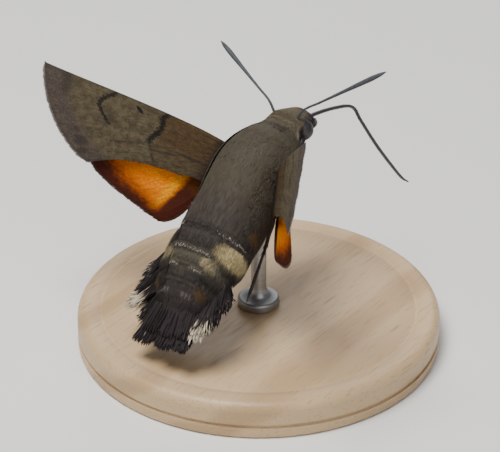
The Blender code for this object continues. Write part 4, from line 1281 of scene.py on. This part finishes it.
def make_side_tufts(side):
    """Three tiers of dark scale blades down one flank, swept back and out, some with pale tips."""
    coat = bpy.context.scene.moth_coat
    chance = np.random.default_rng(51 if side == "left" else 53)
    shape = Shape()
    for tier in TUFT_TIERS:
        start, tip, share, reach_back = tier[side]
        count = int(TUFT_BLADES * coat.fullness)
        part = (np.arange(count) + chance.uniform(-0.5, 0.5, count)) / (count - 1)
        part = np.clip(part, 0.0, 1.0)
        degrees = TUFT_ANGLES[0] + (TUFT_ANGLES[1] - TUFT_ANGLES[0]) * part
        place = start - 0.7 * part + chance.uniform(-0.9, 0.5, count)
        roots = flank(place, degrees, chance.uniform(0.02, 0.12, count))
        reach = TUFT_EDGE_REACH + (1 - TUFT_EDGE_REACH) * np.sin(math.pi * part)
        tips = np.empty((count, 3))
        tips[:, 1] = roots[:, 1] + (tip[1] - roots[:, 1]) * reach - np.abs(chance.normal(0.0, 0.26, count))
        tips[:, 0] = tip[0] + TUFT_SHORT_BELOW * part ** 2 + chance.normal(0.1, 0.34, count)
        tips[:, 2] = tip[2] + 0.35 - TUFT_DROP * part + chance.normal(0.0, 0.10, count)
        ways = unit(tips - roots)
        length = np.linalg.norm(tips - roots, axis=1)
        looks = np.where(degrees[:, None] < 100, np.array([0.0, 0.45, 1.0]), np.array([0.0, -0.35, 1.0]))
        looks = unit(looks - ways * np.sum(looks * ways, axis=1, keepdims=True))
        flat = np.array([1.0, 1.0 if side == "left" else -1.0, 1.0])
        layer = np.minimum(1.0, chance.uniform(0.62, 1.35, count))
        pale = np.where(chance.uniform(0.0, 1.0, count) < share, reach_back, 0.0)
        pale = pale * chance.uniform(0.6, 1.1, count) * layer
        add_tufts(shape, roots * flat, ways * flat, looks * flat, length * layer,
                  chance.uniform(0.13, 0.24, count), rise=0.14, droop=0.14,
                  sway=chance.normal(0.0, 0.07, count), stations=6,
                  bunch=0.55, taper=BLADE_TAPER, thickness=0.12, tint=chance.uniform(0.0, 1.0, count), pale=pale,
                  spots=np.stack([(roots[:, 0] + 20.6) / 27.4, degrees / 360 + 0.5], -1),
                  place=roots * flat, lie=lie_of(roots[:, 0], np.radians(degrees)))
    material = once(dark_blade_material, "tail and tuft blades")
    return settle(shape.build("side_tufts_" + side, material, moth_pose()))


def make_tail_fan():
    """The tail's blades in three tiers, notched between its lobes."""
    coat = bpy.context.scene.moth_coat
    chance = np.random.default_rng(61)
    shape = Shape()
    for tier in TAIL_TIERS:
        count = int(tier["blades"] * coat.fullness)
        across = np.linspace(-1.0, 1.0, count) + chance.uniform(-0.02, 0.02, count)
        place = tier["root"] + chance.uniform(-0.9, 0.9, count)
        middle = hermite(BODY_SECTIONS, place, 3)
        half_height = hermite(BODY_SECTIONS, place, 2)
        lift = np.sign(tier["rise"]) * half_height * 0.55 * np.sqrt(np.clip(1 - (across * 0.85) ** 2, 0, 1))
        roots = np.stack([place, across * TAIL_ROOT_HALF_WIDTH, middle + lift], -1)
        ends = tier["end"] + TAIL_ROUND * across ** 2 - TAIL_SLANT * across
        ends = ends + np.abs(chance.normal(0.0, 0.22 + 0.9 * abs(tier["rise"]), count))
        for notch, depth in TAIL_NOTCHES:
            ends = ends + depth * np.exp(-((across - notch) / TAIL_NOTCH_REACH) ** 2)
        height = -1.0 + tier["rise"] * 0.8 + chance.normal(0.0, 0.07, count)
        tips = np.stack([ends, across * tier["half_width"] + chance.normal(0.0, 0.08, count), height], -1)
        ways = unit(tips - roots)
        length = np.linalg.norm(tips - roots, axis=1)
        looks = np.array([0.0, 0.0, 1.0]) + np.stack([0 * across, across * 0.25, 0 * across], -1)
        looks = unit(looks - ways * np.sum(looks * ways, axis=1, keepdims=True))
        pale = np.where(chance.uniform(0.0, 1.0, count) < 0.03, 0.3, 0.0)
        layer = np.minimum(1.0, chance.uniform(0.55, 1.30, count))
        add_tufts(shape, roots, ways, looks, length * layer, chance.uniform(0.18, 0.32, count), rise=0.05,
                  droop=0.05, sway=chance.normal(0.0, 0.06, count), stations=6, bunch=0.5, taper=BLADE_TAPER,
                  thickness=0.10, tint=chance.uniform(0.0, 1.0, count), pale=pale,
                  spots=np.stack([(place + 20.6) / 27.4, across * 0.2 + 0.5], -1),
                  place=roots, lie=lie_of(place, across * 0.6))
    material = once(dark_blade_material, "tail and tuft blades")
    return settle(shape.build("tail_blades", material, moth_pose()))


def bezier(handles, part):
    a, b, c, d = (np.array(handle) for handle in handles)
    part = part[..., None]
    rest = 1.0 - part
    return a * rest ** 3 + b * 3 * rest ** 2 * part + c * 3 * rest * part ** 2 + d * part ** 3


def wing_place(wing, out, line):
    """Patch between the wing's four edges: out 0 to 1 from the root, line 0 to 1 from the front."""
    across = line[..., None]
    along = out[..., None]
    root_front, root_rear = np.array(wing["leading"][0]), np.array(wing["trailing"][0])
    apex, corner = np.array(wing["outer"][0]), np.array(wing["outer"][3])
    root = root_front + (root_rear - root_front) * across
    ends = apex + (corner - apex) * across
    ruled = bezier(wing["leading"], out) * (1 - across) + bezier(wing["trailing"], out) * across
    ruled = ruled + root * (1 - along) + bezier(wing["outer"], line) * along
    return ruled - root * (1 - along) - ends * along


def wing_frame(pose):
    """Directions out along the wing, back across it and up from its face."""
    outward = math.copysign(1.0, pose["hinge"][1])
    raised = math.radians(pose["raised"])
    pitch = math.radians(pose["pitch"])
    out = np.array([0.0, outward * math.cos(raised), math.sin(raised)])
    level_up = np.array([0.0, -outward * math.sin(raised), math.cos(raised)])
    forward = np.array([1.0, 0.0, 0.0])
    back = -forward * math.cos(pitch) - level_up * math.sin(pitch)
    up = level_up * math.cos(pitch) - forward * math.sin(pitch)
    sweep = math.radians(pose["sweep"])
    swept_out = out * math.cos(sweep) - back * math.sin(sweep)
    swept_back = out * math.sin(sweep) + back * math.cos(sweep)
    return swept_out, swept_back, up


def vein_relief(wing, out, line, chord, length):
    """Veins raised along their lines, the cell's cross vein, and the pleats between veins."""
    rise = np.zeros(np.broadcast(out, line).shape)
    beyond_cell = ease(out, wing["cell_end"] - 0.03, wing["cell_end"] + 0.03)
    for vein in wing["veins"]:
        ridge = np.exp(-((line - vein) * chord / VEIN_HALF_WIDTH) ** 2)
        shown = 1.0 if vein in wing["stems"] else beyond_cell
        rise = np.maximum(rise, ridge * shown)
    low, high = wing["cell_veins"]
    inside = ease(line, low - 0.02, low + 0.02) * (1 - ease(line, high - 0.02, high + 0.02))
    bow = wing["cell_end"] - 0.03 * np.sin(math.pi * (line - low) / (high - low))
    rise = np.maximum(rise, inside * np.exp(-((out - bow) * length / VEIN_HALF_WIDTH) ** 2))
    numbers = np.interp(line, (0.0,) + wing["veins"] + (1.0,), range(len(wing["veins"]) + 2))
    pleat = 0.022 * np.cos(math.pi * numbers) * ease(out, 0.1, 0.7)
    return rise, pleat


def make_wing(name, wing, side, material, slot, seed):
    """One wing as a thin closed leaf with raised veins, and the fringe of scales on its edge."""
    fringe = bpy.context.scene.moth_wings.fringe / MM
    pose = WING_POSES[slot + "_" + side]
    out_way, back_way, up_way = wing_frame(pose)
    hinge = np.array(pose["hinge"]) - up_way * pose["drop"]
    rows, columns = WING_GRID
    out = np.linspace(0.0, 1.0, rows)[:, None]
    line = np.linspace(0.0, 1.0, columns)[None]
    out, line = np.broadcast_arrays(out, line)
    place = wing_place(wing, out, line)
    chord = np.linalg.norm(place[:, -1] - place[:, 0], axis=-1)[:, None]
    length = np.linalg.norm(place[-1, 0] - place[0, 0])
    place = place.copy()
    place[..., 0] -= WING_ROOT_INSIDE * np.clip(1 - out / WING_ROOT_SPAN, 0.0, 1.0)
    bend = WING_DROOP * place[..., 0] ** 2 + WING_CAMBER * (place[..., 1] - 4.0) ** 2
    rise, pleat = vein_relief(wing, out, line, chord, length)
    middle = (hinge + out_way * place[..., :1] + back_way * place[..., 1:2]
              - up_way * (bend - pleat)[..., None])
    edge = np.minimum(np.minimum(line, 1 - line) * chord, (1 - out) * length)
    costa = np.exp(-(line * chord / 0.22) ** 2)
    half = WING_HALF_THICKNESS * (0.3 + 0.7 * ease(edge, 0.0, 0.3)) * (1 + 1.2 * costa) + VEIN_HEIGHT * rise
    top = middle + up_way * half[..., None]
    bottom = middle - up_way * half[..., None]
    total = rows * columns
    flip = side == "right"
    grid = grid_faces(rows, columns, flip=not flip)
    lower = grid_faces(rows, columns, flip=flip) + total
    around = np.concatenate([np.arange(columns), np.arange(1, rows) * columns + columns - 1,
                             (rows - 1) * columns + np.arange(columns - 2, -1, -1),
                             np.arange(rows - 2, 0, -1) * columns])
    after = np.roll(around, -1)
    rim = np.stack([around, after, after + total, around + total], -1)
    if flip:
        rim = rim[:, ::-1]
    flat = np.concatenate([place, np.zeros((rows, columns, 1))], -1)
    over = np.stack([out, line, np.zeros_like(out)], -1)
    under = np.stack([out, line, np.ones_like(out)], -1)
    shape = Shape()
    plain = np.broadcast_to((0.0, 0.5, 0.0), (2 * total, 3))
    shape.add(np.concatenate([top.reshape(-1, 3), bottom.reshape(-1, 3)]), [grid, lower, rim],
              wing=np.concatenate([flat.reshape(-1, 3)] * 2),
              edge=np.concatenate([over.reshape(-1, 3), under.reshape(-1, 3)]), tuft=plain)

    chance = np.random.default_rng(seed)
    outer = [(rows - 1, k) for k in range(columns)] + [(k, columns - 1) for k in range(rows // 4, rows)]
    picks = np.array([pair for pair in outer for _ in range(5)])
    inner = np.where(picks == (rows - 1, columns - 1), picks - 1, picks)
    inner[:, 0] = np.where(picks[:, 0] == rows - 1, picks[:, 0] - 2, picks[:, 0])
    inner[:, 1] = np.where(picks[:, 1] == columns - 1, picks[:, 1] - 2, picks[:, 1])
    rim_points = middle[picks[:, 0], picks[:, 1]]
    ways = unit(rim_points - middle[inner[:, 0], inner[:, 1]])
    count = len(picks)
    slide = unit(np.cross(ways, up_way))
    ways = unit(ways + slide * chance.normal(0.0, 0.18, count)[:, None])
    roots = rim_points - ways * 0.10 + slide * chance.uniform(-0.06, 0.06, count)[:, None]
    looks = np.broadcast_to(up_way, roots.shape)
    on_end = picks[:, 0] == rows - 1
    corner = np.minimum(picks[:, 1], columns - 1 - picks[:, 1])
    sizes = fringe * chance.uniform(0.6, 1.1, count) * np.where(on_end, 0.35 + 0.65 * ease(corner, 0, 6), 0.6)
    add_tufts(shape, roots, ways, looks, sizes + 0.10, chance.uniform(0.09, 0.15, count), rise=0.0,
              droop=chance.normal(0.05, 0.05, count), stations=4, taper=BLADE_TAPER, thickness=0.2,
              tint=chance.uniform(0.1, 0.9, count), pale=np.where(on_end, wing["pale_fringe"], 0.1),
              wing=flat[picks[:, 0], picks[:, 1]], edge=over[picks[:, 0], picks[:, 1]])
    return settle(shape.build(name, material, moth_pose()), (slot + "_" + side,))


def make_eye(side):
    """Domed eye, a little taller than wide, with its facets as fine bumps."""
    rows, columns = 48, 72
    middle = mirrored(EYE_PLACE, side)
    rise = np.linspace(0.02, math.pi - 0.02, rows)[:, None]
    turn = np.linspace(0.0, 2 * math.pi, columns, endpoint=False)[None]
    radius = (EYE_RADIUS - 0.01) * (1 + 0.004 * np.cos(rise * 30) * np.cos(turn * 24))
    points = np.stack(np.broadcast_arrays(radius * np.cos(turn) * np.sin(rise), radius * np.cos(rise),
                                          radius * np.sin(turn) * np.sin(rise)), -1)
    points = points * np.array([1.0, 1.0, 1.02]) + middle
    ends = np.arange(columns)
    faces = [grid_faces(rows, columns, closed=True), ends[None, ::-1],
             (rows - 1) * columns + ends[None]]
    shape = Shape()
    shape.add(points, faces, place=points.reshape(-1, 3))
    return settle(shape.build("dark_eye_" + side, once(eye_material), moth_pose()), ("eye_" + side,))


def make_antenna(side):
    """Ringed feeler that thickens to a club and ends in a fine point."""
    bend = mirrored(ANTENNA_BEND, side)
    run = np.array(ANTENNA_TIPS[side]) - bend
    path = [mirrored(ANTENNA_ROOT, side)] + [bend + run * k / 5 for k in range(6)]
    shape = Shape()
    stations = ANTENNA_RINGS * 5
    centres = path_points(path, np.linspace(0.0, 1.0, stations))
    add_tube(shape, path, ANTENNA_RADII, stations, 14, ANTENNA_RINGS, 0.05,
             place=np.repeat(centres, 14, axis=0))
    material = once(horn_material, "antenna", (0.030, 0.034, 0.040), ANTENNA_RINGS, 0.55)
    return settle(shape.build("feeler_" + side, material, moth_pose()), ("antenna_" + side,))


def make_palp(side):
    """Palp with a coat of short scales that all point to its tip."""
    path = mirrored(PALP_PATH, side)
    shape = Shape()
    stations = 40
    centres = path_points(path, np.linspace(0.0, 1.0, stations))
    add_tube(shape, path, PALP_RADII, stations, 20, place=np.repeat(centres, 20, axis=0))
    chance = np.random.default_rng(71)
    count = 900
    parts = np.linspace(0.02, 0.93, count)
    centres, run, across, above = path_frame(path, parts)
    turn = np.arange(count) * 2.399963
    out = across * np.cos(turn)[:, None] + above * np.sin(turn)[:, None]
    roots = centres + out * hermite(PALP_RADII, parts)[:, None] * 0.9
    add_tufts(shape, roots, run, out, chance.uniform(0.28, 0.45, count), 0.10, rise=0.28, droop=0.12,
              tint=chance.uniform(0.0, 1.0, count), place=roots)
    return settle(shape.build("scaled_palp_" + side, once(palp_material), moth_pose()),
                  ("palp_" + side,))


def make_proboscis():
    """The long tongue, finely ringed, with the groove between its two halves."""
    shape = Shape()
    stations = PROBOSCIS_RINGS * 4
    for shift in (-0.055, 0.055):
        path = np.array(PROBOSCIS_PATH) + np.array([0.0, shift, 0.0])
        centres = path_points(path, np.linspace(0.0, 1.0, stations))
        add_tube(shape, path, PROBOSCIS_RADII, stations, 10, PROBOSCIS_RINGS, 0.04,
                 place=np.repeat(centres, 10, axis=0))
    material = once(horn_material, "proboscis", (0.014, 0.012, 0.012), PROBOSCIS_RINGS, 0.35)
    return settle(shape.build("tongue", material, moth_pose()),
                  ("proboscis_upper", "proboscis_lower"))


def make_leg(pair, side, seed):
    """One leg, scaled down to the ankle, with spurs, a jointed foot and two claws."""
    path = mirrored(LEGS[pair], side)
    shape = Shape()
    stations = 160
    centres = path_points(path, np.linspace(0.0, 1.0, stations))
    add_tube(shape, path, LEG_RADII, stations, 14, place=np.repeat(centres, 14, axis=0))
    chance = np.random.default_rng(seed)
    count = 1100
    parts = np.sort(chance.uniform(0.04, 0.97, count))
    centres, run, across, above = path_frame(path, parts)
    turn = np.arange(count) * 2.399963
    out = across * np.cos(turn)[:, None] + above * np.sin(turn)[:, None]
    foot = ease(parts, FOOT_STARTS - 0.02, FOOT_STARTS)
    roots = centres + out * hermite(LEG_RADII, parts)[:, None] * 0.9
    length = chance.uniform(0.25, 0.42, count) * (1 - 0.4 * foot)
    add_tufts(shape, roots, run, out, length, 0.08, rise=0.16, droop=0.06,
              tint=chance.uniform(0.0, 1.0, count), place=roots)
    foot_parts = np.linspace(FOOT_STARTS, 0.985, FOOT_JOINTS + 1)
    spots = np.concatenate([np.repeat(foot_parts, 2), [FOOT_STARTS - 0.01] * 2, [0.64] * 2])
    centres, run, across, above = path_frame(path, spots)
    spread = np.tile([-1.0, 1.0], len(spots) // 2)[:, None]
    length = np.concatenate([np.full(2 * (FOOT_JOINTS + 1), 0.22), np.full(4, 0.85)])
    add_tufts(shape, centres + across * spread * 0.08, unit(run + across * spread * 0.35), above, length,
              np.where(length > 0.5, 0.12, 0.06), thickness=0.5, rise=0.0, tint=0.3, place=centres)
    material = once(horn_material, "leg scales", (0.030, 0.024, 0.020), 30, 0.6)
    nodes = tuple("leg_" + pair + "_" + side + part for part in ("_upper", "_lower"))
    return settle(shape.build(pair + "_leg_" + side, material, moth_pose()), nodes)


def lathe(name, profile, sides, material):
    """Turned piece from a profile of radius and height in millimetres, closed at both ends."""
    angles = np.linspace(0.0, 2 * math.pi, sides, endpoint=False)
    profile = np.array(profile)
    points = np.stack([profile[:, :1] * np.cos(angles), profile[:, :1] * np.sin(angles),
                       np.broadcast_to(profile[:, 1:], (len(profile), sides))], -1)
    ends = np.arange(sides)
    shape = Shape()
    shape.add(points, [grid_faces(len(profile), sides, closed=True), ends[None, ::-1],
                       (len(profile) - 1) * sides + ends[None]])
    return shape.build(name, material, Matrix.Identity(4))


def arc(middle, radius, start, end, steps=8):
    """Profile points on an arc, with angles in degrees."""
    angles = np.radians(np.linspace(start, end, steps))
    return [(middle[0] + radius * math.cos(a), middle[1] + radius * math.sin(a)) for a in angles]


def make_base():
    """Turned base: eased foot, a shallow bead line round the side and a rounded top edge."""
    low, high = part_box("stand_base")
    radius = high[0] / MM
    top = high[2] / MM
    profile = [(radius - 0.5, 0.0)] + arc((radius - 0.4, 0.4), 0.4, -80, 0, 5)
    profile += [(radius, 1.15)] + arc((radius, 1.4), 0.25, 270, 90, 9) + [(radius, 1.65)]
    profile += arc((radius - 1.0, top - 1.0), 1.0, 0, 90, 12)
    inner = [(radius - 2.2, top), (radius - 2.35, top - 0.12), (radius - 2.6, top - 0.12), (radius - 2.75, top)]
    profile += inner + [(share * radius, top) for share in (0.6, 0.3, 0.02)]
    base = lathe("turned_base", profile, 180, once(wood_material))
    bpy.context.view_layer.update()
    sharpen(base, 40.0)
    return settle(base, ("stand_base",))


def make_rod():
    """Steel rod in a small turned foot, up into the fur of the belly."""
    low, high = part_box("stand_rod")
    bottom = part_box("stand_base")[1][2] / MM
    foot = high[0] / MM
    top = high[2] / MM
    thin = 0.8
    profile = [(foot - 0.15, bottom), (foot, bottom + 0.15), (foot, bottom + 0.7)]
    profile += arc((foot - 0.35, bottom + 0.7), 0.35, 10, 80, 5)
    profile += [(1.35, bottom + 1.15), (1.05, bottom + 1.45), (0.86, bottom + 1.95), (thin, bottom + 2.4)]
    profile += [(thin, top - 0.1), (0.5, top + 0.15)]
    rod = lathe("steel_rod", profile, 64, once(steel_material))
    sharpen(rod, 40.0)
    return settle(rod, ("stand_rod",))


def sharpen(piece, angle):
    piece.data.set_sharp_from_angle(angle=math.radians(angle))


def make_floor():
    """Wide round floor at the height that the stand rests on."""
    rings = np.array([0.0, 0.05, 0.2, 0.6, 1.6, 4.0]) + 0.001
    angles = np.linspace(0.0, 2 * math.pi, 96, endpoint=False)
    points = np.stack([rings[:, None] * np.cos(angles), rings[:, None] * np.sin(angles),
                       np.full((len(rings), len(angles)), -0.00002)], -1) / MM
    shape = Shape()
    ends = np.arange(len(angles))
    shape.add(points, [grid_faces(len(rings), len(angles), closed=True), ends[None]])
    floor = shape.build("floor", once(floor_material), Matrix.Identity(4))
    return floor


def area_light(name, way, distance, size, power, colour=(1.0, 1.0, 1.0)):
    """Soft square light that faces the moth from the given way."""
    data = bpy.data.lights.new(name, "AREA")
    data.size = size
    data.energy = power
    data.color = colour
    light = bpy.data.objects.new(name, data)
    bpy.context.scene.collection.objects.link(light)
    aim = moth_pose().translation
    way = Vector(way).normalized()
    light.location = aim + way * distance
    light.rotation_euler = way.to_track_quat("Z", "Y").to_euler()


def make_camera():
    """Camera at the photograph's place and angle, for its 500 by 452 frame."""
    right = Vector(CAMERA_RIGHT).normalized()
    up = Vector(CAMERA_UP)
    up = (up - right * up.dot(right)).normalized()
    toward = right.cross(up)
    data = bpy.data.cameras.new("photo_camera")
    data.sensor_fit = "HORIZONTAL"
    data.sensor_width = 36.0
    data.lens = CAMERA_LENS
    data.clip_start = 0.01
    camera = bpy.data.objects.new("photo_camera", data)
    bpy.context.scene.collection.objects.link(camera)
    look = moth_pose().translation + (right * CAMERA_OFFSET[0] + up * CAMERA_OFFSET[1]) * MM
    place = look + toward * CAMERA_DISTANCE * MM
    turn = Matrix((right, up, toward)).transposed().to_4x4()
    camera.matrix_world = Matrix.Translation(place) @ turn
    bpy.context.scene.camera = camera


def make_lights():
    key = bpy.context.scene.moth_stand.key_light
    area_light("key", (0.08, 0.35, 1.0), 0.45, 0.22, key, (1.0, 0.98, 0.94))
    area_light("fill", (-0.9, 0.5, 0.6), 0.60, 0.40, key * 0.25, (0.94, 0.97, 1.0))
    area_light("back", (0.6, -1.0, 0.7), 0.60, 0.40, key * 0.30)
    world = bpy.data.worlds.new("studio")
    world.use_nodes = True
    background = world.node_tree.nodes["Background"]
    background.inputs["Color"].default_value = (0.92, 0.95, 1.0, 1.0)
    background.inputs["Strength"].default_value = 0.2
    bpy.context.scene.world = world


# Operators

class MOTH_OT_skin(bpy.types.Operator):
    """Build the one skin under the whole coat"""
    bl_idname = "moth.skin"
    bl_label = "Skin"

    def execute(self, context):
        make_skin()
        return {"FINISHED"}


class MOTH_OT_coat(bpy.types.Operator):
    """Build the short fur and scales of the head, thorax and abdomen"""
    bl_idname = "moth.coat"
    bl_label = "Coat"

    def execute(self, context):
        for seed, (name, region) in enumerate(COAT_REGIONS.items(), start=11):
            make_coat(name, region, seed)
        make_rims()
        make_long_hair()
        return {"FINISHED"}


class MOTH_OT_tufts(bpy.types.Operator):
    """Build the side tufts of the abdomen and the tail fan"""
    bl_idname = "moth.tufts"
    bl_label = "Side tufts and tail"

    def execute(self, context):
        for side in SIDES:
            make_side_tufts(side)
        make_tail_fan()
        return {"FINISHED"}


class MOTH_OT_wings(bpy.types.Operator):
    """Build the four wings with their veins, markings and fringe"""
    bl_idname = "moth.wings"
    bl_label = "Wings"

    def execute(self, context):
        for seed, side in enumerate(SIDES):
            make_wing("front_wing_" + side, FOREWING, side, once(forewing_material), "forewing", 81 + seed)
            make_wing("rear_wing_" + side, HINDWING, side, once(hindwing_material), "hindwing", 91 + seed)
        return {"FINISHED"}


class MOTH_OT_head_parts(bpy.types.Operator):
    """Build the eyes, feelers, palps and tongue"""
    bl_idname = "moth.head_parts"
    bl_label = "Eyes, feelers, palps and tongue"

    def execute(self, context):
        for side in SIDES:
            make_eye(side)
            make_antenna(side)
            make_palp(side)
        make_proboscis()
        return {"FINISHED"}


class MOTH_OT_legs(bpy.types.Operator):
    """Build the three pairs of legs"""
    bl_idname = "moth.legs"
    bl_label = "Legs"

    def execute(self, context):
        for seed, pair in enumerate(LEGS, start=101):
            for side in SIDES:
                make_leg(pair, side, seed)
        return {"FINISHED"}


class MOTH_OT_stand(bpy.types.Operator):
    """Build the wooden base and the steel rod"""
    bl_idname = "moth.stand"
    bl_label = "Stand"

    def execute(self, context):
        make_base()
        make_rod()
        return {"FINISHED"}


class MOTH_OT_stage(bpy.types.Operator):
    """Build the floor, the lights and the camera"""
    bl_idname = "moth.stage"
    bl_label = "Stage"

    def execute(self, context):
        make_floor()
        make_lights()
        make_camera()
        return {"FINISHED"}


OPERATORS = (MOTH_OT_skin, MOTH_OT_coat, MOTH_OT_tufts, MOTH_OT_wings, MOTH_OT_head_parts, MOTH_OT_legs,
             MOTH_OT_stand, MOTH_OT_stage)
SETTINGS = {"moth_coat": MothCoatSettings, "moth_wings": MothWingSettings, "moth_stand": MothStandSettings}


class MOTH_PT_panel(bpy.types.Panel):
    """Settings and steps of the moth, in the order that they run"""
    bl_idname = "MOTH_PT_panel"
    bl_label = "Hawk moth"
    bl_space_type = "VIEW_3D"
    bl_region_type = "UI"
    bl_category = "Hawk moth"

    def draw(self, context):
        for name, group in SETTINGS.items():
            box = self.layout.box()
            for key in group.__annotations__:
                box.prop(getattr(context.scene, name), key)
        for operator in OPERATORS:
            self.layout.operator(operator.bl_idname)


def register():
    for item in (*SETTINGS.values(), *OPERATORS, MOTH_PT_panel):
        bpy.utils.register_class(item)
    for name, group in SETTINGS.items():
        setattr(bpy.types.Scene, name, bpy.props.PointerProperty(type=group))


def unregister():
    for name in SETTINGS:
        delattr(bpy.types.Scene, name)
    for item in reversed((*SETTINGS.values(), *OPERATORS, MOTH_PT_panel)):
        bpy.utils.unregister_class(item)


def main():
    register()
    for operator in OPERATORS:
        group, name = operator.bl_idname.split(".")
        getattr(getattr(bpy.ops, group), name)()
    bpy.context.view_layer.update()


if __name__ == "__main__":
    main()
